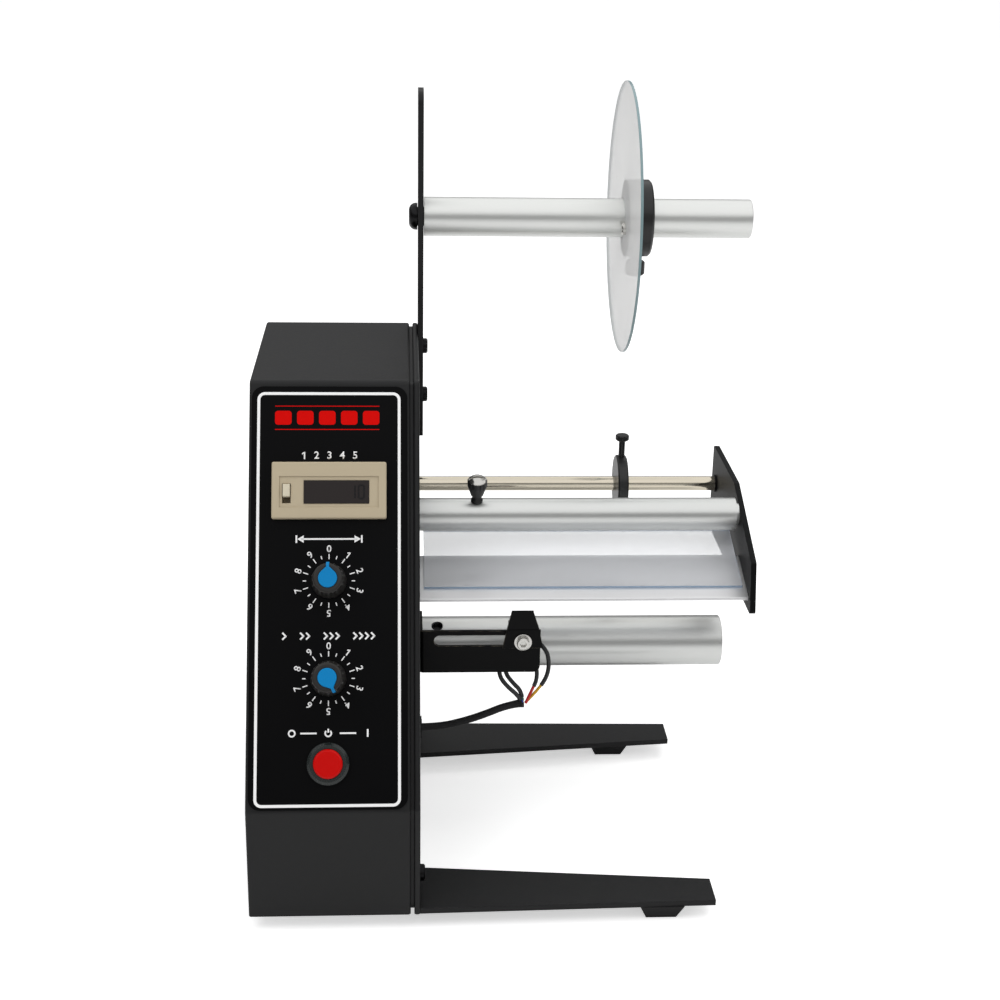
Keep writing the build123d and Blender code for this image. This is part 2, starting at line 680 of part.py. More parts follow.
def guide_tube_screw():
    """Slotted, dome-topped thumb screw that clamps the guide tube on its stub."""
    foot, neck, grip, head, rim = (d / 2 for d in (
        CLAMP_FOOT_D, CLAMP_SCREW_D, CLAMP_GRIP_D, CLAMP_HEAD_D, CLAMP_RIM_D
    ))
    widest = CLAMP_NECK + 0.65 * (CLAMP_RIM - CLAMP_NECK)
    side = Polyline(
        (0, -TUBE_WALL), (neck, -TUBE_WALL), (neck, SLIP), (foot, SLIP), (foot, 0.6 + SLIP), (neck, 2.0),
        (neck, CLAMP_NECK), (grip, CLAMP_NECK), (head, widest), (head, CLAMP_RIM - 0.5), (rim, CLAMP_RIM),
    )
    dome = ThreePointArc(side @ 1, (0.6 * rim, CLAMP_TOP - 0.45), (0, CLAMP_TOP))
    body = revolve(Plane.XZ * make_face(side + dome + Line((0, CLAMP_TOP), (0, -TUBE_WALL))), Axis.Z)
    body = fluted(body, head, FLUTES, FLUTE_DEPTH, CLAMP_NECK, CLAMP_RIM)
    body -= Pos(0, 0, CLAMP_TOP) * Box(CLAMP_HEAD_D, CLAMP_SLOT_W, 2 * CLAMP_SLOT)
    return CLAMP * Pos(0, 0, TUBE_D / 2) * body


# Guide rod with its collar, guide tube, end plate

ROD_THREAD_D = 6.0
ROD_NUT_FLATS = 10.0
ROD_NUT_T = 4.0
COLLAR_D = 28.0
COLLAR_W = 5.0
COLLAR_X = 96.5
TUBE_WALL = 1.5
TUBE_END_GAP = 1.6
STUB_L = 40.0
STUB_THREAD_D = 6.0
TUBE_PLUG_L = 14.0
TUBE_PLUG_FACE_D = 10.0
END_PAST_ROD = 10.0
END_TOP = 156.4
END_BEND_Y = 121.5
END_FRONT = (73.0, 136.5)
END_TOE_Y = 67.5
END_BOTTOM = 114.0
END_CORNER_R = 1.5
BOSS_D = 8.4
BOSS_L = 0.9

END_BACK = ROD_Y + END_PAST_ROD
TUBE_END = END_X - TUBE_END_GAP
ROD_THREAD_X = -SIDE_T - ROD_NUT_T - 2


def guide_rod():
    """Steel rod: its thread passes the side plate, and its far end seats in the boss."""
    rod = bar(ROD_D / 2, (0, END_X), ROD_Y, ROD_Z)
    thread = bar(ROD_THREAD_D / 2, (ROD_THREAD_X, 0), ROD_Y, ROD_Z)
    tapped = bar(M4_D / 2, (END_X + END_T - M4_LENGTH, END_X + 1), ROD_Y, ROD_Z)
    nut = Pos(-SIDE_T, ROD_Y, ROD_Z) * TO_LEFT * hex_nut(ROD_NUT_FLATS, ROD_NUT_T, ROD_THREAD_D + 2 * DRILL)
    return group(rod + thread - tapped, nut)


def rod_collar():
    """Label edge guide: a round collar that slides on the rod."""
    hole_d = ROD_D + 2 * FIT
    collar = tube(COLLAR_D / 2, (COLLAR_D - hole_d) / 2, (COLLAR_X, COLLAR_X + COLLAR_W), ROD_Y, ROD_Z)
    rims = [face.outer_wire().edges() for face in collar.faces().filter_by(Axis.X)]
    collar = chamfer([edge for rim in rims for edge in rim], 0.6)
    place = Pos(COLLAR_X + COLLAR_W / 2, ROD_Y, ROD_Z)
    return collar - place * Cylinder(COLLAR_SCREW_D / 2 + FIT, COLLAR_D, align=UPWARD)


def guide_tube():
    shape = tube(TUBE_D / 2, TUBE_WALL, (0, TUBE_END), TUBE_Y, TUBE_Z)
    return shape - CLAMP * Cylinder(CLAMP_SCREW_D / 2 + FIT, TUBE_D, align=UPWARD)


def guide_tube_ends():
    """Stub that the tube slides over, its nut, and the plug at the far end."""
    radius = TUBE_D / 2 - TUBE_WALL - FIT
    stub = bar(radius, (0, STUB_L), TUBE_Y, TUBE_Z)
    stub += bar(STUB_THREAD_D / 2, (ROD_THREAD_X, 0), TUBE_Y, TUBE_Z)
    dimple = CLAMP * Pos(0, 0, TUBE_D / 2 - TUBE_WALL) * Cylinder(CLAMP_SCREW_D / 2 + FIT, 2 * SLIP)
    place = Pos(-SIDE_T, TUBE_Y, TUBE_Z) * TO_LEFT
    nut = place * hex_nut(ROD_NUT_FLATS, ROD_NUT_T, STUB_THREAD_D + 2 * DRILL)
    plug = bar(radius, (TUBE_END - TUBE_PLUG_L, TUBE_END), TUBE_Y, TUBE_Z)
    plug += bar(TUBE_PLUG_FACE_D / 2, (TUBE_END, END_X), TUBE_Y, TUBE_Z)
    plug -= bar(M4_D / 2, (END_X + END_T - M4_LENGTH, END_X + 1), TUBE_Y, TUBE_Z)
    return group(stub - dimple, nut, plug)


def end_plate():
    """Outer plate: flat top, sloped shoulder, front edge that leans forward."""
    outline = polygon(
        (END_TOE_Y, END_BOTTOM), END_FRONT, (END_BEND_Y, END_TOP), (END_BACK, END_TOP), (END_BACK, END_BOTTOM)
    )
    outline = fillet(outline.vertices(), END_CORNER_R)
    plate = upright(outline, (END_X, END_X + END_T))
    plate += bar(BOSS_D / 2, (END_X - BOSS_L, END_X), ROD_Y, ROD_Z)
    plate -= bar(ROD_D / 2, (END_X - BOSS_L - 1, END_X), ROD_Y, ROD_Z)
    holes = [place * (m4_hole() + m4_flat_head(DRILL)) for place in end_screw_places()]
    holes += [place * m3_hole(CUT) for place in peel_screw_places()[2:]]
    return plate - holes


def end_screw_places():
    return [Pos(END_X + END_T, y, z) * TO_RIGHT for y, z in ((ROD_Y, ROD_Z), (TUBE_Y, TUBE_Z))]


# Peel plate and clear sheet

PEEL_TILT = 17.5
PEEL_DEPTH = 30.0
PEEL_T = 1.6
PEEL_TAB = 8.0
PEEL_TAB_FROM = 10.0
PEEL_SCREW_AT = (4.0, 13.0)
PEEL_SCREW_DROP = 4.2
SHEET_T = 1.0
SHEET_FROM = 7.5
SHEET_DEPTH = 39.5
SHEET_LEFT = 2.2
SHEET_RIGHT_GAP = 1.7

PEEL = Location((0, NOSE_Y, NOSE_Z), (PEEL_TILT, 0, 0))


def peel_plate():
    """Metal plate with a round nose, and a tab turned down at each end for its screws."""
    half = PEEL_T / 2
    section = Pos(PEEL_DEPTH / 2 + half / 2, -half) * Rectangle(PEEL_DEPTH - half, PEEL_T)
    section += Pos(half, -half) * Circle(half)
    plate = upright(section, (0, END_X))
    tab_y = (PEEL_TAB_FROM, PEEL_DEPTH)
    tab_z = (-PEEL_TAB, -half)
    plate += block((0, PEEL_T), tab_y, tab_z) + block((END_X - PEEL_T, END_X), tab_y, tab_z)
    return PEEL * plate - [place * m3_hole(CUT) for place in peel_screw_places()]


def peel_screw_places():
    """Two screws into each end tab: the side plate's from inside, the end plate's from outside."""
    places = []
    for x, turn in ((-SIDE_T, TO_LEFT), (END_X + END_T, TO_RIGHT)):
        for along in PEEL_SCREW_AT:
            spot = PEEL * Pos(0, PEEL_TAB_FROM + along, -PEEL_SCREW_DROP)
            places.append(Pos(x, spot.position.Y, spot.position.Z) * turn)
    return places


def clear_sheet():
    """Clear sheet that leads the web under the guide tube and onto the peel plate."""
    x = (SHEET_LEFT, END_X - SHEET_RIGHT_GAP)
    return PEEL * block(x, (SHEET_FROM, SHEET_FROM + SHEET_DEPTH), (0, SHEET_T))


# Winder and its drive

WIND_WALL = 1.5
WIND_START = 1.0
WIND_HOLE_X = 9.0
WIND_HOLE_D = 5.5
WIND_HOLE_TILT = 62.5
INSERT_X = (3.0, 49.0)
INSERT_L = 12.0
GRUB_D = 4.0
SHAFT_RIGHT = 61.0
BEARING_D = 16.0
BEARING_W = 5.0
BEARING_FLANGE_D = 18.0
BEARING_FLANGE_T = 1.1
MODULE = 1.0
PRESSURE = radians(20.0)
BACKLASH = 0.16
WINDER_TEETH = 60
PINION_TEETH = 20
GEAR_X = (-14.0, -6.0)
GEAR_HOLES = 5
GEAR_HOLE_D = 10.0
GEAR_HOLE_R = 18.0
MOTOR_AT = 205.9
MOTOR_PLATE_X = (-20.0, -17.5)
MOTOR_PLATE_MARGIN = 8.0
POST_D = 8.0
POST_AWAY_Y = (-49.0, 31.0)
POST_AWAY_Z = (-36.5, 31.5)
GEARBOX_D = 37.0
GEARBOX_L = 22.0
GEARBOX_BOSS_D = 12.0
GEARBOX_SCREW_R = 15.5
PINION_SHAFT_D = 6.0
MOTOR_D = 32.0
MOTOR_L = 24.0

CENTRES = MODULE * (WINDER_TEETH + PINION_TEETH) / 2
MOTOR_Y = WIND_Y + CENTRES * cos(radians(MOTOR_AT))
MOTOR_Z = WIND_Z + CENTRES * sin(radians(MOTOR_AT))
SHAFT_LEFT = MOTOR_PLATE_X[0] - 1
POST_SPAN = ([WIND_Y + y for y in POST_AWAY_Y], [WIND_Z + z for z in POST_AWAY_Z])


def winder_tube():
    shape = tube(WIND_D / 2, WIND_WALL, (WIND_START, WIND_END), WIND_Y, WIND_Z)
    shape = chamfer(shape.faces().sort_by(Axis.X)[-1].edges(), 0.3)
    access = Cylinder(WIND_HOLE_D / 2, WIND_D, align=UPWARD)
    return shape - Pos(WIND_HOLE_X, WIND_Y, WIND_Z) * Rot(90 - WIND_HOLE_TILT, 0, 0) * access


def winder_shaft():
    return bar(SHAFT_D / 2, (SHAFT_LEFT, SHAFT_RIGHT), WIND_Y, WIND_Z)


def winder_hubs():
    """Two inserts that carry the tube on the shaft, and the grub screw under the hole."""
    radius = WIND_D / 2 - WIND_WALL - FIT
    place = Pos(WIND_HOLE_X, WIND_Y, WIND_Z) * Rot(90 - WIND_HOLE_TILT, 0, 0)
    hole = place * Cylinder(GRUB_D / 2, WIND_D, align=UPWARD)
    inserts = []
    for x in INSERT_X:
        inserts.append(tube(radius, radius - SHAFT_D / 2, (x, x + INSERT_L), WIND_Y, WIND_Z))
    near, far = inserts
    grub = place * Pos(0, 0, SHAFT_D / 2) * Cylinder(GRUB_D / 2, radius - SHAFT_D / 2 - 1, align=UPWARD)
    return group(near - hole, far, grub)


def gear_outline(teeth):
    """Involute spur gear with a tooth centred on the first axis."""
    pitch = MODULE * teeth / 2
    base = pitch * cos(PRESSURE)
    tip = pitch + MODULE
    root = pitch - 1.25 * MODULE
    start = max(root, base)

    def half_angle(radius):
        """Half of the tooth's angular thickness at a radius."""
        lean = acos(min(1, base / radius))
        thickness = (pi * MODULE / 2 - BACKLASH / 2) / (2 * pitch)
        return thickness + (tan(PRESSURE) - PRESSURE) - (tan(lean) - lean)

    def point(radius, angle):
        return (radius * cos(angle), radius * sin(angle))

    step = 2 * pi / teeth
    middle = (start + tip) / 2
    edges = []
    for tooth in range(teeth):
        at = tooth * step
        low, mid, high = (half_angle(radius) for radius in (start, middle, tip))
        if start > root:
            edges.append(Line(point(root, at - low), point(start, at - low)))
        rise = (point(start, at - low), point(middle, at - mid), point(tip, at - high))
        fall = (point(tip, at + high), point(middle, at + mid), point(start, at + low))
        edges += [ThreePointArc(*rise), Line(rise[2], fall[0]), ThreePointArc(*fall)]
        if start > root:
            edges.append(Line(point(start, at + low), point(root, at + low)))
        edges.append(Line(point(root, at + low), point(root, at + step - low)))
    return make_face(edges)


def spur_gear(teeth, turn, width):
    """Gear about X, turned by an angle in degrees."""
    return Rot(turn, 0, 0) * upright(gear_outline(teeth), (GEAR_X[0], GEAR_X[0] + width))


def winder_gear():
    """Large gear with round lightening holes; one tooth points at the pinion."""
    width = GEAR_X[1] - GEAR_X[0]
    gear = Pos(0, WIND_Y, WIND_Z) * spur_gear(WINDER_TEETH, MOTOR_AT, width)
    for step in range(GEAR_HOLES):
        angle = 2 * pi * step / GEAR_HOLES
        y, z = WIND_Y + GEAR_HOLE_R * cos(angle), WIND_Z + GEAR_HOLE_R * sin(angle)
        gear -= bar(GEAR_HOLE_D / 2, (GEAR_X[0] - 1, GEAR_X[1] + 1), y, z)
    return gear - bar(SHAFT_D / 2, (GEAR_X[0] - 1, GEAR_X[1] + 1), WIND_Y, WIND_Z)


def motor_pinion():
    """Small gear on the gearbox's output shaft; a gap faces the large gear."""
    turn = MOTOR_AT + 180 + 180 / PINION_TEETH
    gear = Pos(0, MOTOR_Y, MOTOR_Z) * spur_gear(PINION_TEETH, turn, GEAR_X[1] - GEAR_X[0])
    low = MOTOR_PLATE_X[0] - GEARBOX_L / 2
    return gear + bar(PINION_SHAFT_D / 2, (low, GEAR_X[1] + 1), MOTOR_Y, MOTOR_Z)


def bearing(x, side):
    """Flanged ball bearing with its flange on the face at x, its body on both sides."""
    hole = BEARING_W - SIDE_T
    ends = sorted((x - side * SIDE_T, x + side * hole))
    flange = sorted((x, x + side * BEARING_FLANGE_T))
    ring = bar(BEARING_D / 2, ends, WIND_Y, WIND_Z) + bar(BEARING_FLANGE_D / 2, flange, WIND_Y, WIND_Z)
    return ring - bar(SHAFT_D / 2 + FIT, (ends[0] - 1, ends[1] + 1), WIND_Y, WIND_Z)


def shaft_bearings():
    return group(bearing(-SIDE_T, -1), bearing(MOTOR_PLATE_X[1], 1))


def post_spots():
    return [(y, z) for y in POST_SPAN[0] for z in POST_SPAN[1]]


def post_screw_places():
    return [Pos(MOTOR_PLATE_X[0], *spot) * TO_LEFT for spot in post_spots()]


def motor_posts():
    """Four threaded posts riveted to the side plate."""
    thread = (MOTOR_PLATE_X[1] - 1, MOTOR_PLATE_X[0] + M3_LENGTH)
    posts = [bar(POST_D / 2, (MOTOR_PLATE_X[1], -SIDE_T), *spot) for spot in post_spots()]
    return group(*[post - bar(M3_D / 2, thread, *spot) for post, spot in zip(posts, post_spots())])


def gearbox_screw_places():
    places = []
    for angle in (30, 150, 270):
        y = MOTOR_Y + GEARBOX_SCREW_R * cos(radians(angle))
        z = MOTOR_Z + GEARBOX_SCREW_R * sin(radians(angle))
        places.append(Pos(MOTOR_PLATE_X[1], y, z) * TO_RIGHT)
    return places


def motor_plate():
    """Plate on four posts that holds the gearbox and the shaft's inner bearing."""
    y, z = POST_SPAN
    margin = MOTOR_PLATE_MARGIN
    plate = block(MOTOR_PLATE_X, (y[0] - margin, y[1] + margin), (z[0] - margin, z[1] + margin))
    plate = fillet(plate.edges().filter_by(Axis.X), margin / 2)
    through = (MOTOR_PLATE_X[0] - 1, MOTOR_PLATE_X[1] + 1)
    plate -= bar(BEARING_D / 2, through, WIND_Y, WIND_Z)
    plate -= bar(GEARBOX_BOSS_D / 2 + DRILL, through, MOTOR_Y, MOTOR_Z)
    plate -= [bar(M3_D / 2 + DRILL, through, *spot) for spot in post_spots()]
    return plate - [place * m3_hole() for place in gearbox_screw_places()]


def gearbox():
    """Round gearbox with a boss through the motor plate."""
    back, front = MOTOR_PLATE_X[0] - GEARBOX_L, MOTOR_PLATE_X[0]
    case = bar(GEARBOX_D / 2, (back, front), MOTOR_Y, MOTOR_Z)
    case += bar(GEARBOX_BOSS_D / 2, (front, MOTOR_PLATE_X[1]), MOTOR_Y, MOTOR_Z)
    bore = (front - GEARBOX_L / 2 - SLIP, MOTOR_PLATE_X[1] + 1)
    case -= bar(PINION_SHAFT_D / 2 + FIT, bore, MOTOR_Y, MOTOR_Z)
    holes = [place * Cylinder(M3_D / 2, 2 * M3_LENGTH) for place in gearbox_screw_places()]
    return case - holes


def motor():
    """Motor can with its brush cap, on the back of the gearbox."""
    front = MOTOR_PLATE_X[0] - GEARBOX_L
    can = bar(MOTOR_D / 2, (front - MOTOR_L, front), MOTOR_Y, MOTOR_Z)
    return can + bar(MOTOR_D / 5, (front - MOTOR_L - 2, front - MOTOR_L), MOTOR_Y, MOTOR_Z)


# Sensor: slotted bracket, folded slider, head, screw and washer

BRACKET_T = 1.5
BRACKET_RIGHT = 53.7
BRACKET_Z = (85.6, 105.8)
BRACKET_FLANGE = 22.0
BRACKET_R = 3.0
BRACKET_BEND_R = 2.0
BRACKET_SCREW_AT = (11.0, 17.5)
SLOT_X = (6.5, 49.0)
SLOT_Z = 101.1
SLOT_W = 5.2
SLIDER_T = 1.2
SLIDER_X = 45.8
SLIDER_LOW = 98.0
SLIDER_CREASE = 106.6
SLIDER_WIDTHS = (17.9, 14.6, 9.8)
SLIDER_TOP_L = 8.4
SLIDER_TILT = 50.0
HEAD_W = 11.6
HEAD_D = 12.0
HEAD_Z = (93.0, 104.8)
SENSOR_SCREW_D = 4.0
SENSOR_SCREW_HEAD_D = 5.6
SENSOR_SCREW_HEAD = 2.2
SENSOR_SCREW_HEX = 2.6
SENSOR_SCREW_L = 9.0
WASHER_D = 7.8
WASHER_T = 0.6

SLIDER_FACE = BRACKET_Y - SLIP
HEAD_FRONT = BRACKET_Y + BRACKET_T + SLIP


def sensor_bracket():
    """L-bracket: a flange on the side plate and a slotted plate that faces the front."""
    plate = block((0, BRACKET_RIGHT), (BRACKET_Y, BRACKET_Y + BRACKET_T), BRACKET_Z)
    corner = plate.edges().filter_by(Axis.Y).sort_by(Axis.X)[-2:].sort_by(Axis.Z)[0]
    plate = fillet(corner, BRACKET_R)
    flange = block((0, BRACKET_T), (BRACKET_Y, BRACKET_Y + BRACKET_FLANGE), BRACKET_Z)
    slot = SlotOverall(SLOT_X[1] - SLOT_X[0], SLOT_W)
    place = Pos((SLOT_X[0] + SLOT_X[1]) / 2, BRACKET_Y + BRACKET_T + 1, SLOT_Z) * TO_FRONT
    bracket = plate + flange
    bend = bracket.edges().filter_by(Axis.Z).sort_by(Axis.X).sort_by(Axis.Y)[0]
    bracket = fillet(bend, BRACKET_BEND_R) - place * extrude(slot, amount=BRACKET_T + 2)
    return bracket - [place * m3_hole(CUT) for place in bracket_screw_places()]


def bracket_screw_places():
    """Screws from inside the side plate into the bracket's flange."""
    z = (BRACKET_Z[0] + BRACKET_Z[1]) / 2
    return [Pos(-SIDE_T, BRACKET_Y + y, z) * TO_LEFT for y in BRACKET_SCREW_AT]


def sensor_slider():
    """Folded plate: flat on the bracket, then bent back above its top edge."""
    rise = SLIDER_TOP_L * sin(radians(SLIDER_TILT))
    run = SLIDER_TOP_L * cos(radians(SLIDER_TILT))
    top = (SLIDER_FACE + run, SLIDER_CREASE + rise)
    spine = Polyline((SLIDER_FACE, SLIDER_LOW), (SLIDER_FACE, SLIDER_CREASE), top)
    half_low, half_crease, half_top = (width / 2 for width in SLIDER_WIDTHS)
    strip = upright(make_face(offset(spine, SLIDER_T, side=Side.LEFT)), (-half_low, half_low))
    front = polygon(
        (-half_low, SLIDER_LOW), (half_low, SLIDER_LOW), (half_crease, SLIDER_CREASE),
        (half_top, top[1]), (half_top, top[1] + SLIDER_T), (-half_top, top[1] + SLIDER_T),
        (-half_top, top[1]), (-half_crease, SLIDER_CREASE),
    )
    outline = Pos(0, top[0] + 1, 0) * TO_FRONT * extrude(front, amount=run + 2 * SLIDER_T + 2)
    hole = Pos(0, SLIDER_FACE, SLOT_Z) * TO_FRONT * Cylinder(SENSOR_SCREW_D / 2 + FIT, CUT)
    return Pos(SLIDER_X, 0, 0) * (strip & outline - hole)


def sensor_head():
    """Optical sensor block behind the bracket, with a nose through the slot."""
    x = (SLIDER_X - HEAD_W / 2, SLIDER_X + HEAD_W / 2)
    head = block(x, (HEAD_FRONT, HEAD_FRONT + HEAD_D), HEAD_Z)
    head = fillet(head.edges().filter_by(Axis.Z), 1.0)
    nose = Pos(SLIDER_X, HEAD_FRONT, SLOT_Z) * TO_FRONT * Cylinder(
        SLOT_W / 2 - SLIP, HEAD_FRONT - SLIDER_FACE, align=UPWARD
    )
    thread = Pos(SLIDER_X, SLIDER_FACE, SLOT_Z) * TO_FRONT * Cylinder(SENSOR_SCREW_D / 2 + FIT, 3 * HEAD_D)
    return head + nose - thread


def sensor_screw():
    """Hex-socket screw with its washer."""
    washer = Cylinder(WASHER_D / 2, WASHER_T, align=UPWARD)
    head = Pos(0, 0, WASHER_T) * Cylinder(SENSOR_SCREW_HEAD_D / 2, SENSOR_SCREW_HEAD, align=UPWARD)
    head = chamfer(head.edges().sort_by(Axis.Z)[-1], 0.3)
    socket = Pos(0, 0, WASHER_T + SENSOR_SCREW_HEAD - M4_HEX_DEPTH) * extrude(
        RegularPolygon(SENSOR_SCREW_HEX / 2, 6, major_radius=False), amount=M4_HEX_DEPTH
    )
    shank = Cylinder(SENSOR_SCREW_D / 2, SENSOR_SCREW_L, align=DOWNWARD)
    place = Pos(SLIDER_X, SLIDER_FACE - SLIDER_T, SLOT_Z) * TO_FRONT
    return place * (washer + head + shank - socket)


# Legs and feet

LEG_ROOT = 31.5
LEG_TIP = 16.5
LEG_DRIFT = 3.0
LEG_FRONT_Y = 0.5
BACK_TO_LEG = 20.0
LEG_TAB_Y = (5.0, 28.0)
LEG_TAB_H = 23.0
LEG_SCREW_Z = 17.0
FOOT_TOP = (19.0, 18.0)
FOOT_BOTTOM = (13.0, 12.4)
LEG_FOOT_X = (103.5, 96.5)
LEG_FOOT_IN = 11.2
CASE_FOOT_X = (-56.0, -24.0)
CASE_FOOT_IN = (26.0, 25.0)

CASE_FOOT_Y = (CASE_FOOT_IN[0], CASE_D - CASE_FOOT_IN[1])
LEG_BACK_Y = CASE_D - BACK_TO_LEG
MACHINE_MIDDLE = (LEG_FRONT_Y + LEG_BACK_Y) / 2


def front_leg():
    """Tapered flat leg: its tab passes under the side plate and turns up behind it."""
    outline = polygon(
        (0, LEG_FRONT_Y), (LEG_LENGTH, LEG_FRONT_Y + LEG_DRIFT),
        (LEG_LENGTH, LEG_FRONT_Y + LEG_DRIFT + LEG_TIP), (0, LEG_FRONT_Y + LEG_ROOT),
    )
    plate = Pos(0, 0, CASE_BASE) * extrude(outline, amount=LEG_T, dir=(0, 0, 1))
    behind = COVER_RIGHT - LEG_T
    plate += block((behind, 0), LEG_TAB_Y, (CASE_BASE, CASE_BASE + LEG_T))
    plate += block((behind, COVER_RIGHT), LEG_TAB_Y, (CASE_BASE, CASE_BASE + LEG_TAB_H))
    return plate - leg_screw_places()[0] * m4_hole()


def rear_leg():
    """The front leg's mirror image."""
    return mirror(front_leg(), Plane.XZ.offset(-MACHINE_MIDDLE))


def leg_screw_places():
    front = (LEG_TAB_Y[0] + LEG_TAB_Y[1]) / 2
    return [Pos(0, y, LEG_SCREW_Z) * TO_RIGHT for y in (front, 2 * MACHINE_MIDDLE - front)]


def rubber_foot(height):
    """Tapered block that stands on the table."""
    low = Rectangle(*FOOT_BOTTOM)
    return loft([low, Pos(0, 0, height) * Rectangle(*FOOT_TOP)])


def rubber_feet():
    """Four feet under the bottom plate, one under each leg."""
    front = LEG_FRONT_Y + LEG_FOOT_IN
    leg_spots = zip(LEG_FOOT_X, (front, 2 * MACHINE_MIDDLE - front))
    feet = [Pos(x, y, 0) * rubber_foot(CASE_BASE) for x, y in leg_spots]
    feet += [Pos(x, y, 0) * rubber_foot(FRAME_BASE - BASE_T) for x in CASE_FOOT_X for y in CASE_FOOT_Y]
    return group(*feet)


# Electrics inside the case

BOARD_AT = (-45.0, 39.0)
BOARD = (42.0, 50.0, 1.6)
BOARD_LIFT = 6.0
BOARD_POST_D = 5.0
BOARD_POST_IN = 4.0
TERMINALS = (26.0, 8.0, 9.0)
TERMINALS_AT = (0.0, 20.0)
RELAY = (15.0, 19.0, 15.0)
RELAY_AT = (-9.5, -1.5)
HEAT_SINK = (6.0, 20.0, 16.0)
HEAT_SINK_AT = (16.0, -5.0)
CAPACITOR_D = 10.0
CAPACITOR_H = 14.0
CAPACITOR_AT = (6.0, -3.0)
CORE_X = (-66.0, -26.0)
CORE_DEPTH = 34.0
BACK_TO_CORE = 29.0
CORE_H = 34.0
COIL_BULGE = 5.0
INLET_X = -38.0
INLET_Z = 38.0
INLET_FLANGE = (48.0, 24.0)
INLET_FLANGE_T = 2.0
INLET_BODY = (27.5, 19.6)
INLET_DEPTH = 19.0
INLET_CAVITY = (24.6, 16.8)
INLET_CAVITY_DEPTH = 15.5
INLET_CORNER = 4.5
INLET_BLADE = (2.0, 4.0)
INLET_BLADE_L = 11.0
INLET_BLADES = ((-7.0, -1.0), (0.0, 3.0), (7.0, -1.0))
INLET_SCREW_X = 20.0

CORE_Y = (CASE_D - BACK_TO_CORE - CORE_DEPTH, CASE_D - BACK_TO_CORE)


def inlet_screw_places():
    face = CASE_D + INLET_FLANGE_T
    return [Pos(INLET_X + x, face, INLET_Z) * TO_BACK for x in (-INLET_SCREW_X, INLET_SCREW_X)]


def power_inlet():
    """Appliance inlet in the back wall: flange, socket with two cut corners, three blades."""
    flange = extrude(RectangleRounded(*INLET_FLANGE, 3), amount=INLET_FLANGE_T)
    body = Box(*INLET_BODY, INLET_DEPTH, align=DOWNWARD)
    mouth = Rectangle(*INLET_CAVITY)
    mouth = chamfer(mouth.vertices().sort_by(Axis.Y)[-2:], INLET_CORNER)
    floor = INLET_FLANGE_T - INLET_CAVITY_DEPTH
    cavity = Pos(0, 0, floor) * extrude(mouth, amount=INLET_CAVITY_DEPTH)
    blade = Pos(0, 0, floor) * Box(*INLET_BLADE, INLET_BLADE_L, align=UPWARD)
    socket = flange + body - cavity + [Pos(x, y, 0) * blade for x, y in INLET_BLADES]
    shape = Pos(INLET_X, CASE_D, INLET_Z) * TO_BACK * Rot(0, 0, 180) * socket
    return shape - [place * m3_hole() for place in inlet_screw_places()]


def control_board():
    """Circuit board on four posts, with its terminals, relay, heat sink and capacitor."""
    width, depth, thickness = BOARD
    board = Pos(0, 0, BOARD_LIFT) * Box(width, depth, thickness, align=UPWARD)
    post = Cylinder(BOARD_POST_D / 2, BOARD_LIFT, align=UPWARD)
    corners = GridLocations(width - 2 * BOARD_POST_IN, depth - 2 * BOARD_POST_IN, 2, 2)
    pieces = [board] + [corner * post for corner in corners]
    top = BOARD_LIFT + thickness
    for size, spot in ((TERMINALS, TERMINALS_AT), (RELAY, RELAY_AT), (HEAT_SINK, HEAT_SINK_AT)):
        pieces.append(Pos(*spot, top) * Box(*size, align=UPWARD))
    pieces.append(Pos(*CAPACITOR_AT, top) * Cylinder(CAPACITOR_D / 2, CAPACITOR_H, align=UPWARD))
    return group(*[Pos(*BOARD_AT, FRAME_BASE) * piece for piece in pieces])


def transformer():
    """Laminated core with its coil round the middle leg."""
    leg = (CORE_X[1] - CORE_X[0]) / 4
    base = FRAME_BASE
    core = block(CORE_X, CORE_Y, (base, base + CORE_H))
    window_z = (base + leg / 1.5, base + CORE_H - leg / 1.5)
    middle = (CORE_X[0] + CORE_X[1]) / 2
    for x in ((CORE_X[0] + leg / 2, middle - leg / 2), (middle + leg / 2, CORE_X[1] - leg / 2)):
        core -= block(x, (CORE_Y[0] - 1, CORE_Y[1] + 1), window_z)
    coil_x = (CORE_X[0] + leg / 2 + ROOM, CORE_X[1] - leg / 2 - ROOM)
    coil_y = (CORE_Y[0] - COIL_BULGE, CORE_Y[1] + COIL_BULGE)
    coil_z = (window_z[0] + ROOM, window_z[1] - ROOM)
    leg_x = (middle - leg / 2 - ROOM, middle + leg / 2 + ROOM)
    leg_y = (CORE_Y[0] - ROOM, CORE_Y[1] + ROOM)
    coil = block(coil_x, coil_y, coil_z) - block(leg_x, leg_y, (base, base + CORE_H))
    return group(core, coil)


# Sensor lead: sheath out of the case, then four thin leads up to the sensor head

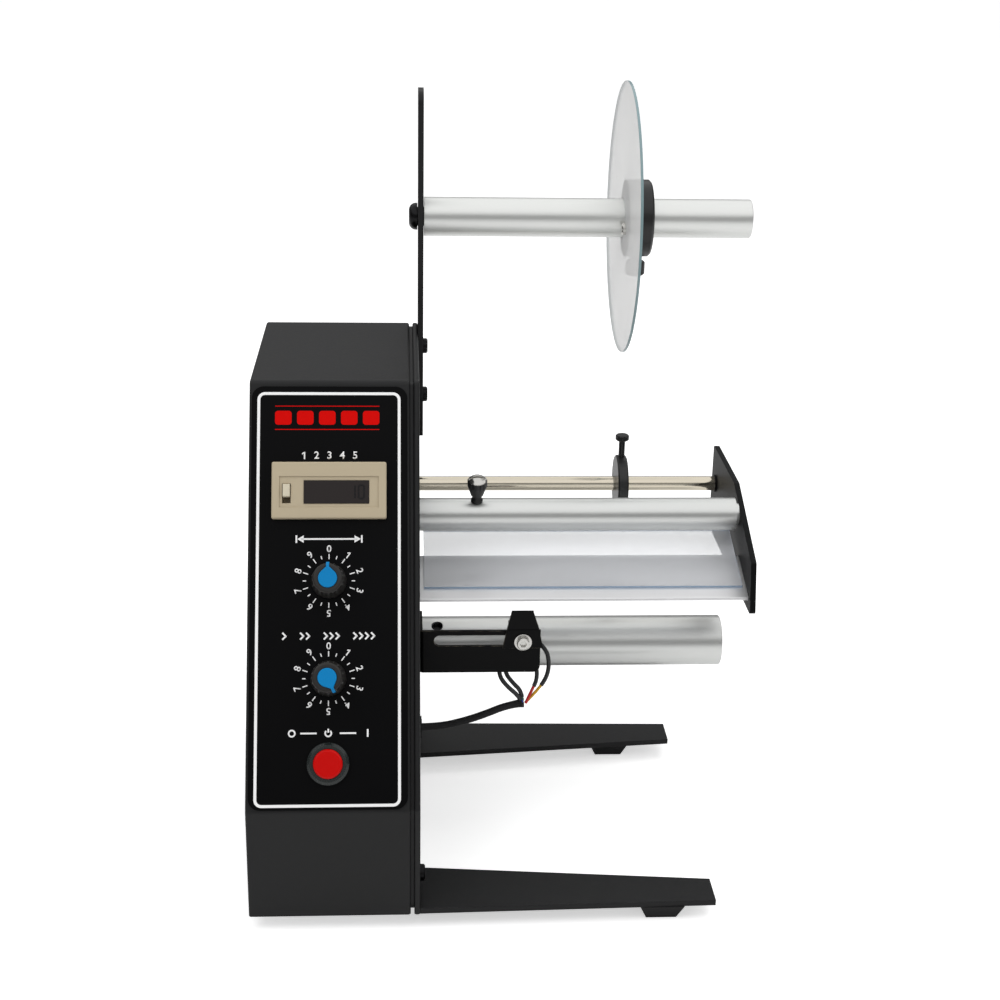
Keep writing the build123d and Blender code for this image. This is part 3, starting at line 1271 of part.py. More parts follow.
GROMMET_Y = 78.0
GROMMET_Z = 54.2
GROMMET_D = 10.0
GROMMET_NECK_D = 7.0
GROMMET_LIP = 1.2
SHEATH_D = 3.4
LEAD_D = 1.4
SHEATH_ROUTE = (
    (-38.0, 59.0, 27.3), (-37.6, 59.6, 34.5), (-31.0, 61.5, 43.5), (-20.5, 67.5, 50.5), (-9.5, 78.0, 54.2),
    (9.0, 78.0, 54.2), (21.0, 77.5, 57.4), (31.0, 77.0, 61.4), (39.0, 76.0, 65.6), (45.4, 75.0, 67.4),
)
LEAD_ROUTES = (
    (
        (46.6, 74.4, 68.2), (44.6, 74.4, 71.8), (40.0, 75.4, 75.4), (36.0, 77.4, 80.0), (36.4, 78.8, 86.6),
        (41.8, 79.2, 92.3),
    ),
    (
        (46.9, 76.0, 68.4), (46.2, 76.2, 73.0), (42.6, 77.4, 76.2), (38.8, 79.4, 80.6), (39.0, 81.2, 86.8),
        (42.8, 81.8, 92.3),
    ),
    ((48.2, 74.4, 67.8), (50.6, 75.2, 73.4), (53.2, 76.4, 78.4), (53.0, 78.2, 84.6), (50.2, 79.0, 92.5)),
    (
        (48.2, 76.0, 67.3), (52.6, 76.4, 72.0), (57.6, 77.4, 78.8), (58.8, 78.6, 85.6), (57.2, 80.2, 92.4),
        (52.3, 81.4, 96.0),
    ),
)


def cable_grommet():
    """Rubber grommet in the side plate."""
    through = (-SIDE_T - GROMMET_LIP, GROMMET_LIP)
    ring = bar(GROMMET_NECK_D / 2, through, GROMMET_Y, GROMMET_Z)
    ring += bar(GROMMET_D / 2, (-SIDE_T - GROMMET_LIP, -SIDE_T), GROMMET_Y, GROMMET_Z)
    ring += bar(GROMMET_D / 2, (0, GROMMET_LIP), GROMMET_Y, GROMMET_Z)
    return ring - bar(SHEATH_D / 2 + 4 * FIT, (through[0] - 1, through[1] + 1), GROMMET_Y, GROMMET_Z)


def cord(route, diameter):
    """Limp cord: straight runs joined by the largest tangent arcs that they allow."""
    points = [Vector(*point) for point in route]
    radii = []
    for before, corner, after in zip(points, points[1:], points[2:]):
        run_in, run_out = corner - before, after - corner
        turn = radians(run_in.get_angle(run_out))
        radii.append(0.45 * min(run_in.length, run_out.length) / tan(turn / 2))
    path = FilletPolyline(*points, radius=radii)
    shape = sweep(Plane(origin=path @ 0, z_dir=path % 0) * Circle(diameter / 2), path=path)
    filled = shape.volume / (pi * diameter ** 2 / 4 * path.length)
    print("cord radii", [round(radius, 1) for radius in radii])
    print("cord volume over section times length", round(filled, 4))
    return shape


def sensor_sheath():
    return cord(SHEATH_ROUTE, SHEATH_D)


def sensor_leads():
    return group(*[cord(route, LEAD_D) for route in LEAD_ROUTES])


# Screws, one node for each size

def m3_screws():
    """Screws of the cover, bottom plate, inlet, peel plate, sensor bracket, motor plate and gearbox."""
    places = cover_screw_places() + base_screw_places() + inlet_screw_places()
    places += peel_screw_places() + bracket_screw_places() + post_screw_places() + gearbox_screw_places()
    return group(*[place * m3_screw() for place in places])


def m4_screws():
    """Screws of the spindle arm, the legs and the end plate, and their nuts."""
    behind_arm = Pos(-SIDE_T - FRAME_T - ARM_T, 0, 0)
    behind_leg = Pos(-SIDE_T - FRAME_T - LEG_T, 0, 0)
    nuts = [behind_arm * place * TO_TABLE for place in arm_screw_places()]
    nuts += [behind_leg * place * TO_TABLE for place in leg_screw_places()]
    nut = hex_nut(M4_NUT_FLATS, M4_NUT_T, M4_D + 2 * DRILL)
    screws = [place * m4_screw() for place in arm_screw_places() + leg_screw_places()]
    screws += [place * m4_flat_screw() for place in end_screw_places()]
    return group(*screws, *[place * nut for place in nuts])


def turned(shape, place, angle):
    """A knob's part at its place, turned clockwise as seen from the front."""
    return place * Rot(0, 0, -angle) * shape


PARTS = {
    "case_cover": case_cover,
    "side_plate": side_plate,
    "side_frame": side_frame,
    "bottom_plate": bottom_plate,
    "rubber_feet": rubber_feet,
    "m3_screws": m3_screws,
    "m4_screws": m4_screws,
    "panel_overlay": panel_overlay,
    "counter_body": counter_body,
    "counter_window": counter_window,
    "counter_clip": counter_clip,
    "counter_reset_key": counter_reset_key,
    "potentiometers": potentiometers,
    "length_pot_shaft": lambda: turned(pot_shaft(), POT_PLACES[0], LENGTH_AT),
    "length_knob": lambda: turned(knob(), POT_PLACES[0], LENGTH_AT),
    "length_knob_cap": lambda: turned(knob_cap(), POT_PLACES[0], LENGTH_AT),
    "speed_pot_shaft": lambda: turned(pot_shaft(), POT_PLACES[1], SPEED_AT),
    "speed_knob": lambda: turned(knob(), POT_PLACES[1], SPEED_AT),
    "speed_knob_cap": lambda: turned(knob_cap(), POT_PLACES[1], SPEED_AT),
    "power_button_body": power_button_body,
    "power_button_cap": power_button_cap,
    "spindle_arm": spindle_arm,
    "spindle_bolt": spindle_bolt,
    "spindle_plug": spindle_plug,
    "spindle_tube": spindle_tube,
    "roll_disc": roll_disc,
    "disc_hub": disc_hub,
    "disc_screws": disc_screws,
    "hub_thumb_screw": hub_thumb_screw,
    "guide_rod": guide_rod,
    "rod_collar": rod_collar,
    "collar_thumb_screw": collar_thumb_screw,
    "guide_tube": guide_tube,
    "guide_tube_ends": guide_tube_ends,
    "guide_tube_screw": guide_tube_screw,
    "end_plate": end_plate,
    "peel_plate": peel_plate,
    "clear_sheet": clear_sheet,
    "winder_tube": winder_tube,
    "winder_shaft": winder_shaft,
    "winder_hubs": winder_hubs,
    "winder_gear": winder_gear,
    "motor_pinion": motor_pinion,
    "shaft_bearings": shaft_bearings,
    "motor_posts": motor_posts,
    "motor_plate": motor_plate,
    "gearbox": gearbox,
    "motor": motor,
    "sensor_bracket": sensor_bracket,
    "sensor_slider": sensor_slider,
    "sensor_head": sensor_head,
    "sensor_screw": sensor_screw,
    "front_leg": front_leg,
    "rear_leg": rear_leg,
    "power_inlet": power_inlet,
    "control_board": control_board,
    "transformer": transformer,
    "cable_grommet": cable_grommet,
    "sensor_sheath": sensor_sheath,
    "sensor_leads": sensor_leads,
}

os.makedirs("parts", exist_ok=True)
for name, build in PARTS.items():
    export_step(ORIGIN * build(), f"parts/{name}.step")
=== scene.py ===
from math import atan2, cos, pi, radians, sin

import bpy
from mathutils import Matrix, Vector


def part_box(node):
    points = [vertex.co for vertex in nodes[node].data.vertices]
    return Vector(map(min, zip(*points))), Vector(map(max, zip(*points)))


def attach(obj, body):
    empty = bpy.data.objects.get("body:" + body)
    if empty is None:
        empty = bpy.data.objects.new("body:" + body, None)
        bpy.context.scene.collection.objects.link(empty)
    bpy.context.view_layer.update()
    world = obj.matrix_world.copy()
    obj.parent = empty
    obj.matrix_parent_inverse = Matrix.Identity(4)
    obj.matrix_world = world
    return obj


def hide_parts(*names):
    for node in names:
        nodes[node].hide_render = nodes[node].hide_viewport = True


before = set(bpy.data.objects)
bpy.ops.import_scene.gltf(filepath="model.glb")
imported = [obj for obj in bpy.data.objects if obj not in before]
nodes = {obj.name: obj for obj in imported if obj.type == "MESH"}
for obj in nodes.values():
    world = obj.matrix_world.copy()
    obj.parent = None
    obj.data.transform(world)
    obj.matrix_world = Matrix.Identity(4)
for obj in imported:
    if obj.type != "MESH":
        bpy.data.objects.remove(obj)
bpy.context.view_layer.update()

# %% [markdown]
# A bench label dispenser: a black sheet-metal case with a tilted control panel, and on its
# right side a roll spindle, a guide rod and tube, a peel plate, a sensor and a winder tube.
# The solid pieces come from the frame. This lesson gives them their finishes, prints the
# panel, and makes the sensor's soft leads. Lengths below are metres, and MM turns
# millimetres into metres.

MM = 0.001
plate_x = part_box("side_plate")[1].x
front_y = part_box("case_cover")[0].y


# %% [markdown]
# Every place on the machine is measured from three faces that are easy to find on it: the
# side plate's outer face, the front of the case and the table. The tilted panel gets a
# frame of its own, so that anything printed on it can be drawn flat and then laid on it.

# %% Places on the machine and on the tilted panel
BEND_HEIGHT = 57.0
PANEL_RUN = 86.0
PANEL_RISE = 159.0
slope = atan2(PANEL_RUN, PANEL_RISE)


def spot(x, y, z):
    """A place in millimetres from the side plate, the case front and the table."""
    return Vector((plate_x + x * MM, front_y + y * MM, z * MM))


def panel_place(x, up, out=0.0, turn=0.0):
    """The frame of a flat piece on the panel: x across, up the slope, out from it."""
    rows = ((1, 0, 0), (0, sin(slope), -cos(slope)), (0, cos(slope), sin(slope)))
    move = Matrix.Translation((x * MM, up * MM, out * MM)) @ Matrix.Rotation(turn, 4, "Z")
    return Matrix.Translation(spot(0, 0, BEND_HEIGHT)) @ Matrix(rows).to_4x4() @ move


print("panel tilt", round(slope * 180 / pi, 2), "degrees from upright")


# %% [markdown]
# The camera stands in front of the panel, a little above it and almost level with the
# middle of the machine. It is turned first round the upright, then tilted down, then rolled
# by about a degree, because the picture that it follows leans by that much.

# %% Camera
YAW, TILT, ROLL = radians(-3.483), radians(90 - 20.681), radians(1.156)
CAMERA_AT = (-6.96, -610.22, 424.89)
LENS = 61.176
SENSOR = 36.0
bpy.ops.object.camera_add()
camera = bpy.context.object
camera.name = "camera"
camera.data.lens = LENS
camera.data.sensor_width = SENSOR
turned = Matrix.Rotation(YAW, 4, "Z") @ Matrix.Rotation(TILT, 4, "X")
turned = turned @ Matrix.Rotation(ROLL, 4, "Z")
camera.matrix_world = Matrix.Translation(spot(*CAMERA_AT)) @ turned
camera.data.clip_start = 0.01
bpy.context.scene.camera = camera
print("camera", [round(v, 3) for v in camera.location])


# %% [markdown]
# Floor, surround and finishes are all made of nodes, and two small helpers keep that short:
# one sets a socket from a number or from another socket, the other is a step of arithmetic.

# %% Helpers for nodes
def feed(tree, source, socket):
    """Sets a socket from a number, or links it from another socket."""
    if isinstance(source, (int, float, tuple)):
        socket.default_value = source
    else:
        tree.links.new(source, socket)


def reckon(tree, kind, first, second=0.0, clamp=False):
    """One step of arithmetic."""
    step = tree.nodes.new("ShaderNodeMath")
    step.operation = kind
    step.use_clamp = clamp
    feed(tree, first, step.inputs[0])
    feed(tree, second, step.inputs[1])
    return step.outputs[0]


print("node helpers ready")


# %% [markdown]
# The light is that of a white sweep: a pale floor, a white surround that lights everything
# evenly, and soft lamps from above that only light: metal mirrors the surround, not them.
# A grey band at the height of the horizon stands for the darker room round the sweep. Only
# reflections see it. Without it a metal tube in a white room would look like white paper.
# The floor is as white as the surround to the camera alone, and it still takes the shadow.

# %% Floor, surround and lamps
FLOOR_SIZE = 60.0
BAND_RADIUS = 3.0
BAND_HEIGHT = 1.7
BAND_GREY = (0.2, 0.2, 0.2)
SURROUND_FILL = 0.5
FLOOR_COLOUR = (0.93, 0.93, 0.93)
UNDER_FEET = -0.0002
LAMPS_AIM = (0, 0, 0.15)


def plain(name, colour, glow=(0, 0, 0)):
    """A matt finish for what isn't part of the machine; glow is the light it gives itself."""
    made = bpy.data.materials.new(name)
    made.use_nodes = True
    shader = made.node_tree.nodes["Principled BSDF"]
    shader.inputs["Base Color"].default_value = (*colour, 1)
    shader.inputs["Roughness"].default_value = 0.9
    shader.inputs["Specular IOR Level"].default_value = 0.1
    shader.inputs["Emission Color"].default_value = (*glow, 1)
    shader.inputs["Emission Strength"].default_value = 1.0
    return made


bpy.ops.mesh.primitive_plane_add(size=FLOOR_SIZE, location=(0, 0, UNDER_FEET))
floor = bpy.context.object
floor.name = "floor"
floor.data.materials.append(plain("pale_floor", FLOOR_COLOUR, FLOOR_COLOUR))
floor_tree = floor.data.materials[0].node_tree
straight = floor_tree.nodes.new("ShaderNodeLightPath").outputs["Is Camera Ray"]
lift = reckon(floor_tree, "MULTIPLY", straight, 1 / FLOOR_COLOUR[0] - SURROUND_FILL)
feed(floor_tree, lift, floor_tree.nodes["Principled BSDF"].inputs["Emission Strength"])

bpy.ops.mesh.primitive_cylinder_add(
    vertices=96, radius=BAND_RADIUS, depth=BAND_HEIGHT, end_fill_type="NOTHING",
    location=(0, 0, BAND_HEIGHT / 2),
)
band = bpy.context.object
band.name = "room_band"
band.data.materials.append(plain("room_grey", (0, 0, 0), BAND_GREY))
band.visible_camera = False
band.visible_diffuse = False
band.visible_transmission = False
band.visible_shadow = False

world = bpy.data.worlds.new("white_surround")
bpy.context.scene.world = world
world.use_nodes = True
web = world.node_tree
surround = web.nodes["Background"]
surround.inputs["Color"].default_value = (1, 1, 1, 1)
path = web.nodes.new("ShaderNodeLightPath").outputs
seen = reckon(web, "MAXIMUM", path["Is Camera Ray"], path["Is Glossy Ray"])
seen = reckon(web, "MAXIMUM", seen, path["Is Transmission Ray"])
boost = reckon(web, "MULTIPLY", seen, 1 - SURROUND_FILL)
feed(web, reckon(web, "ADD", boost, SURROUND_FILL), surround.inputs["Strength"])

LAMPS = {
    # name: place, size, power
    "key_lamp": ((-0.9, -0.9, 1.7), 1.1, 11.0),
    "top_lamp": ((0.5, 0.3, 1.9), 1.4, 13.0),
    "right_lamp": ((1.5, -0.6, 1.1), 0.9, 3.5),
}
for name, (where, size, power) in LAMPS.items():
    bpy.ops.object.light_add(type="AREA", location=where)
    lamp = bpy.context.object
    lamp.name = name
    lamp.data.size = size
    lamp.data.energy = power
    lamp.visible_glossy = False
    away = Vector(where) - Vector(LAMPS_AIM)
    lamp.rotation_euler = away.to_track_quat("Z", "Y").to_euler()
bpy.context.scene.view_settings.view_transform = "Standard"
print("lamps", list(LAMPS))


# %% [markdown]
# Finishes that several materials share are node groups. Each group reads Object
# coordinates, which on this machine are true metres from its origin, so a grain of half a
# millimetre is half a millimetre on every piece. First a small helper that makes a group
# with its named sockets.

# %% A group with named sockets
def start_group(name, inputs, outputs):
    """A node group: inputs and outputs are {name: (kind, value)} and {name: kind}."""
    group = bpy.data.node_groups.new(name, "ShaderNodeTree")
    for title, (kind, value) in inputs.items():
        kind = "NodeSocket" + kind
        socket = group.interface.new_socket(title, in_out="INPUT", socket_type=kind)
        socket.default_value = value
    for title, kind in outputs.items():
        group.interface.new_socket(title, in_out="OUTPUT", socket_type="NodeSocket" + kind)
    entry = group.nodes.new("NodeGroupInput")
    leave = group.nodes.new("NodeGroupOutput")
    return group, entry, leave


def noise(tree, vector, scale, detail=2.0):
    """A noise texture that reads a vector; the scale is a number or a socket."""
    texture = tree.nodes.new("ShaderNodeTexNoise")
    texture.inputs["Detail"].default_value = detail
    tree.links.new(vector, texture.inputs["Vector"])
    feed(tree, scale, texture.inputs["Scale"])
    return texture.outputs["Fac"]


def blend(tree, kind, amount, first, second):
    """Two colours mixed by an amount."""
    step = tree.nodes.new("ShaderNodeMix")
    step.data_type = "RGBA"
    step.blend_type = kind
    feed(tree, amount, step.inputs["Factor"])
    feed(tree, first, step.inputs[6])
    feed(tree, second, step.inputs[7])
    return step.outputs[2]


def spread(tree, value, low, high, from_low=0.0, from_high=1.0):
    """A value stretched between two others."""
    step = tree.nodes.new("ShaderNodeMapRange")
    step.inputs["From Min"].default_value = from_low
    step.inputs["From Max"].default_value = from_high
    feed(tree, value, step.inputs["Value"])
    feed(tree, low, step.inputs["To Min"])
    feed(tree, high, step.inputs["To Max"])
    return step.outputs["Result"]


print("group helpers ready")


# %% [markdown]
# Powder coat, moulded plastic and rubber all have a fine, even grain, and patches a few
# centimetres wide where they are a shade lighter or glossier. One group makes both. What
# differs is the size of the grain, how deep it is and how strong the patches are.

# %% Grain: powder coat, moulded plastic, rubber
BROAD_SCALE = 28.0
MOTTLE_SCALE = 420.0
BROAD_SHARE = 0.7
SPECK = 0.08


def make_grain():
    group, entry, leave = start_group(
        "grain",
        {
            "Color": ("Color", (0.05, 0.05, 0.05, 1)), "Roughness": ("Float", 0.5),
            "Fineness": ("Float", 1400.0), "Patches": ("Float", 0.15),
            "Gloss Patches": ("Float", 0.06),
        },
        {"Color": "Color", "Roughness": "Float", "Height": "Float"},
    )
    place = group.nodes.new("ShaderNodeTexCoord").outputs["Object"]
    fine = noise(group, place, entry.outputs["Fineness"], 3.0)
    broad = noise(group, place, BROAD_SCALE, 3.0)
    mottle = noise(group, place, MOTTLE_SCALE, 2.0)
    large = reckon(group, "MULTIPLY", broad, BROAD_SHARE)
    small = reckon(group, "MULTIPLY", mottle, 1 - BROAD_SHARE)
    both = reckon(group, "SUBTRACT", reckon(group, "ADD", large, small), 0.5)
    lift = reckon(group, "MULTIPLY", both, entry.outputs["Patches"])
    factor = reckon(group, "ADD", 1.0, reckon(group, "MULTIPLY", lift, 2.0))
    shade = group.nodes.new("ShaderNodeVectorMath")
    shade.operation = "SCALE"
    group.links.new(entry.outputs["Color"], shade.inputs[0])
    group.links.new(factor, shade.inputs["Scale"])
    group.links.new(shade.outputs[0], leave.inputs["Color"])
    dull = reckon(group, "SUBTRACT", broad, 0.5)
    dull = reckon(group, "MULTIPLY", dull, entry.outputs["Gloss Patches"])
    speck = reckon(group, "MULTIPLY", reckon(group, "SUBTRACT", fine, 0.5), SPECK)
    rough = reckon(group, "ADD", reckon(group, "ADD", entry.outputs["Roughness"], dull), speck)
    group.links.new(rough, leave.inputs["Roughness"])
    group.links.new(fine, leave.inputs["Height"])
    return group


# %% [markdown]
# Drawn tubes, ground rods and brushed plates carry fine lines that all run one way. A noise
# that is squeezed across the lines and stretched along them gives such lines. The vector
# input says how often the pattern repeats along X, Y and Z.

# %% Lines: drawn, ground and brushed metal
CLOUD_SCALE = 60.0
CLOUD_SHARE = 0.5


def make_lines():
    group, entry, leave = start_group(
        "metal_lines",
        {
            "Color": ("Color", (0.7, 0.7, 0.7, 1)), "Roughness": ("Float", 0.3),
            "Repeats": ("Vector", (20.0, 3000.0, 3000.0)), "Contrast": ("Float", 0.1),
        },
        {"Color": "Color", "Roughness": "Float", "Height": "Float"},
    )
    place = group.nodes.new("ShaderNodeTexCoord").outputs["Object"]
    stretch = group.nodes.new("ShaderNodeVectorMath")
    stretch.operation = "MULTIPLY"
    group.links.new(place, stretch.inputs[0])
    group.links.new(entry.outputs["Repeats"], stretch.inputs[1])
    lines = noise(group, stretch.outputs[0], 1.0, 4.0)
    cloud = noise(group, place, CLOUD_SCALE, 2.0)
    swing = reckon(group, "SUBTRACT", lines, 0.5)
    drift = reckon(group, "MULTIPLY", reckon(group, "SUBTRACT", cloud, 0.5), CLOUD_SHARE)
    both = reckon(group, "ADD", swing, drift)
    both = reckon(group, "MULTIPLY", both, entry.outputs["Contrast"])
    shade = group.nodes.new("ShaderNodeVectorMath")
    shade.operation = "SCALE"
    group.links.new(entry.outputs["Color"], shade.inputs[0])
    group.links.new(reckon(group, "ADD", 1.0, both), shade.inputs["Scale"])
    group.links.new(shade.outputs[0], leave.inputs["Color"])
    rough = reckon(group, "ADD", entry.outputs["Roughness"], both)
    group.links.new(rough, leave.inputs["Roughness"])
    group.links.new(lines, leave.inputs["Height"])
    return group


# %% [markdown]
# No real edge is perfectly sharp. The Bevel node looks sideways along the surface and turns
# the normal near an edge, so a sharp solid gets a narrow rounded highlight. The angle
# between that normal and the flat one is also a mask of the edges, broken up by a noise.
# On most painted pieces the paint wears thin there and looks a little lighter; on the
# bracket the mask carries a painted highlight.

# %% Soft edges, their wear and their painted highlight
EDGE_TURN = (0.75, 0.98)
WEAR_AND_HIGHLIGHT_SCALE = 260.0
WEAR_AND_HIGHLIGHT_PART = (0.42, 0.6)


def make_edges():
    group, entry, leave = start_group(
        "soft_edges",
        {"Radius": ("Float", 0.4 * MM), "Rub": ("Float", 1.0)},
        {"Normal": "Vector", "Edge": "Float"},
    )
    round_off = group.nodes.new("ShaderNodeBevel")
    round_off.samples = 6
    group.links.new(entry.outputs["Radius"], round_off.inputs["Radius"])
    true_normal = group.nodes.new("ShaderNodeNewGeometry").outputs["Normal"]
    compare = group.nodes.new("ShaderNodeVectorMath")
    compare.operation = "DOT_PRODUCT"
    group.links.new(round_off.outputs["Normal"], compare.inputs[0])
    group.links.new(true_normal, compare.inputs[1])
    away = spread(group, compare.outputs["Value"], 1.0, 0.0, *EDGE_TURN)
    place = group.nodes.new("ShaderNodeTexCoord").outputs["Object"]
    broken = spread(group, noise(group, place, WEAR_AND_HIGHLIGHT_SCALE, 4.0), 0.0, 1.0, *WEAR_AND_HIGHLIGHT_PART)
    wear_and_highlight_mask = reckon(group, "MULTIPLY", away, broken)
    wear_and_highlight_mask = reckon(group, "MULTIPLY", wear_and_highlight_mask, entry.outputs["Rub"], clamp=True)
    group.links.new(wear_and_highlight_mask, leave.inputs["Edge"])
    group.links.new(round_off.outputs["Normal"], leave.inputs["Normal"])
    return group


grain, metal_lines, soft_edges = make_grain(), make_lines(), make_edges()
print("groups", [group.name for group in bpy.data.node_groups])


# %% [markdown]
# A finish is a material with one shader. These two functions wire the groups to it: coat()
# for painted, moulded and rubber pieces, and metal() for bare metal. What is the same all
# over a piece, such as how strongly it mirrors, is set on the shader itself.

# %% Painted, moulded and bare finishes
def use(tree, group, **values):
    """A group's node, with some of its inputs set; an underscore stands for a space."""
    node = tree.nodes.new("ShaderNodeGroup")
    node.node_tree = group
    for title, value in values.items():
        node.inputs[title.replace("_", " ")].default_value = value
    return node


def new_finish(name):
    """An empty material, its tree and its shader."""
    made = bpy.data.materials.new(name)
    made.use_nodes = True
    return made, made.node_tree, made.node_tree.nodes["Principled BSDF"]


def add_bump(tree, shader, height, normal, depth, strength=1.0):
    """Fine relief over an already rounded normal."""
    bump = tree.nodes.new("ShaderNodeBump")
    bump.inputs["Distance"].default_value = depth
    bump.inputs["Strength"].default_value = strength
    tree.links.new(height, bump.inputs["Height"])
    tree.links.new(normal, bump.inputs["Normal"])
    tree.links.new(bump.outputs["Normal"], shader.inputs["Normal"])


def coat(
    name, colour, rough, fine=1800.0, depth=0.006, patches=0.06, edge=0.1,
    wear_and_highlight_amount=0.0, edge_wear_and_highlight=None, mirror=0.5,
):
    """Paint, plastic or rubber: grain, soft edges, and a lighter colour along the edges.

    fine is the grain's scale, and depth its height in millimetres, as edge is the width of
    the soft edge. patches says how much the shade varies.
    """
    made, tree, shader = new_finish(name)
    skin = use(tree, grain, Color=(*colour, 1), Roughness=rough, Fineness=fine, Patches=patches)
    edges = use(tree, soft_edges, Radius=edge * MM, Rub=wear_and_highlight_amount)
    shown = skin.outputs["Color"]
    # The edge colour is wear on most painted pieces and a painted highlight on the bracket.
    if edge_wear_and_highlight:
        shown = blend(tree, "MIX", edges.outputs["Edge"], shown, (*edge_wear_and_highlight, 1))
    tree.links.new(shown, shader.inputs["Base Color"])
    tree.links.new(skin.outputs["Roughness"], shader.inputs["Roughness"])
    shader.inputs["Specular IOR Level"].default_value = mirror
    add_bump(tree, shader, skin.outputs["Height"], edges.outputs["Normal"], depth * MM)
    return made


def metal_skin(tree, colour, rough, repeats, contrast):
    """The lines of a bare metal surface."""
    values = {"Color": (*colour, 1), "Roughness": rough, "Repeats": repeats, "Contrast": contrast}
    return use(tree, metal_lines, **values)


def metal(name, colour, rough, repeats, contrast, depth=0.002, edge=0.2):
    """Bare metal with lines that run one way, depth millimetres deep."""
    made, tree, shader = new_finish(name)
    skin = metal_skin(tree, colour, rough, repeats, contrast)
    edges = use(tree, soft_edges, Radius=edge * MM)
    tree.links.new(skin.outputs["Color"], shader.inputs["Base Color"])
    tree.links.new(skin.outputs["Roughness"], shader.inputs["Roughness"])
    shader.inputs["Metallic"].default_value = 1.0
    add_bump(tree, shader, skin.outputs["Height"], edges.outputs["Normal"], depth * MM)
    return made


def dress(finish, *names):
    """Gives a finish to nodes of the frame."""
    for name in names:
        mesh = nodes[name]
        if not mesh.material_slots:
            mesh.data.materials.append(finish)
        for place in mesh.material_slots:
            place.material = finish


print("finish helpers ready")


# %% [markdown]
# The case, the side plate, the arm, the end plate, the bracket and the legs are steel sheet
# with a satin black powder coat. The bent cover is a shade lighter, and the end plate and
# the bracket are darker. Powder coat has a very fine orange-peel skin, and it is thin on
# cut edges, where it looks greyer. Along the bracket's edges and bends a cream colour is a
# painted highlight.

# %% Powder coat on the sheet metal
RUBBED_GREY = (0.07, 0.07, 0.072)
# A cream colour for the bracket's edges and bends: a painted highlight.
PAINTED_EDGE_HIGHLIGHT = (0.3, 0.27, 0.2)
POWDER = {"fine": 1100.0, "patches": 0.2, "edge": 0.5, "wear_and_highlight_amount": 0.35, "edge_wear_and_highlight": RUBBED_GREY}
COVER_SKIN = {**POWDER, "depth": 0.012, "patches": 0.18, "edge": 0.6, "wear_and_highlight_amount": 0.3}
PLATE_SKIN = {**POWDER, "depth": 0.01}
LEG_SKIN = {**POWDER, "depth": 0.012, "edge": 0.6}
# On the bracket the edge colour is mixed in strongly, as a painted highlight.
BRACKET_SKIN = {**POWDER, "depth": 0.008, "edge": 0.4, "wear_and_highlight_amount": 0.8, "edge_wear_and_highlight": PAINTED_EDGE_HIGHLIGHT}
cover_paint = coat("cover_paint", (0.0095, 0.0097, 0.0102), 0.5, **COVER_SKIN, mirror=0.3)
plate_paint = coat("plate_paint", (0.008, 0.0082, 0.0087), 0.42, **PLATE_SKIN, mirror=0.3)
leg_paint = coat("leg_paint", (0.01, 0.0102, 0.0107), 0.5, **LEG_SKIN, mirror=0.25)
end_paint = coat("end_paint", (0.0028, 0.0029, 0.0032), 0.46, **PLATE_SKIN, mirror=0.11)
bracket_paint = coat("bracket_paint", (0.0018, 0.0018, 0.002), 0.34, **BRACKET_SKIN, mirror=0.1)
dress(cover_paint, "case_cover")
dress(plate_paint, "side_plate", "side_frame", "spindle_arm")
dress(end_paint, "end_plate")
dress(bracket_paint, "sensor_bracket", "sensor_slider")
dress(leg_paint, "front_leg", "rear_leg")
print("painted pieces dressed")


# %% [markdown]
# Plastic pieces: the panel's printed sheet is almost black and matt, the counter's bezel is
# a warm beige, and the knobs are a dark brownish grey. The caps of the knobs and of the
# power button are glossy, with a clear coat over a strong colour.

# %% Plastics and rubber
SATIN = {"fine": 1800.0, "depth": 0.006, "patches": 0.04, "edge": 0.25}
MOULDED = {"fine": 1600.0, "depth": 0.008, "patches": 0.15, "edge": 0.3}
FILM = {"fine": 2200.0, "depth": 0.004, "patches": 0.15, "edge": 0.3}
KNOB = {**MOULDED, "depth": 0.006}
BEZEL = {**MOULDED, "depth": 0.004, "patches": 0.1}
FEET = {"fine": 900.0, "depth": 0.03, "patches": 0.3, "edge": 0.5}
CABLE = {"fine": 1300.0, "depth": 0.02, "patches": 0.3, "edge": 0.2}
panel_film = coat("panel_film", (0.0024, 0.0024, 0.0027), 0.36, **FILM, mirror=0.06)
beige = coat("beige_plastic", (0.49, 0.415, 0.29), 0.42, **SATIN, mirror=0.35)
key_beige = coat("key_plastic", (0.66, 0.6, 0.46), 0.4, **SATIN, mirror=0.4)
knob_plastic = coat("knob_plastic", (0.0145, 0.0135, 0.0125), 0.3, **KNOB, mirror=0.4)
black_plastic = coat("black_plastic", (0.014, 0.014, 0.0145), 0.34, **MOULDED, mirror=0.45)
button_plastic = coat("button_plastic", (0.01, 0.014, 0.0135), 0.26, **BEZEL, mirror=0.5)
feet_rubber = coat("feet_rubber", (0.012, 0.012, 0.0125), 0.68, **FEET, mirror=0.25)
cable_rubber = coat("cable_rubber", (0.016, 0.016, 0.017), 0.55, **CABLE, mirror=0.3)


def glossy_cap(name, colour):
    """Bright plastic under a clear coat."""
    made = coat(name, colour, 0.32, depth=0.003, edge=0.25, mirror=0.12)
    shader = made.node_tree.nodes["Principled BSDF"]
    shader.inputs["Coat Weight"].default_value = 0.12
    shader.inputs["Coat Roughness"].default_value = 0.12
    return made


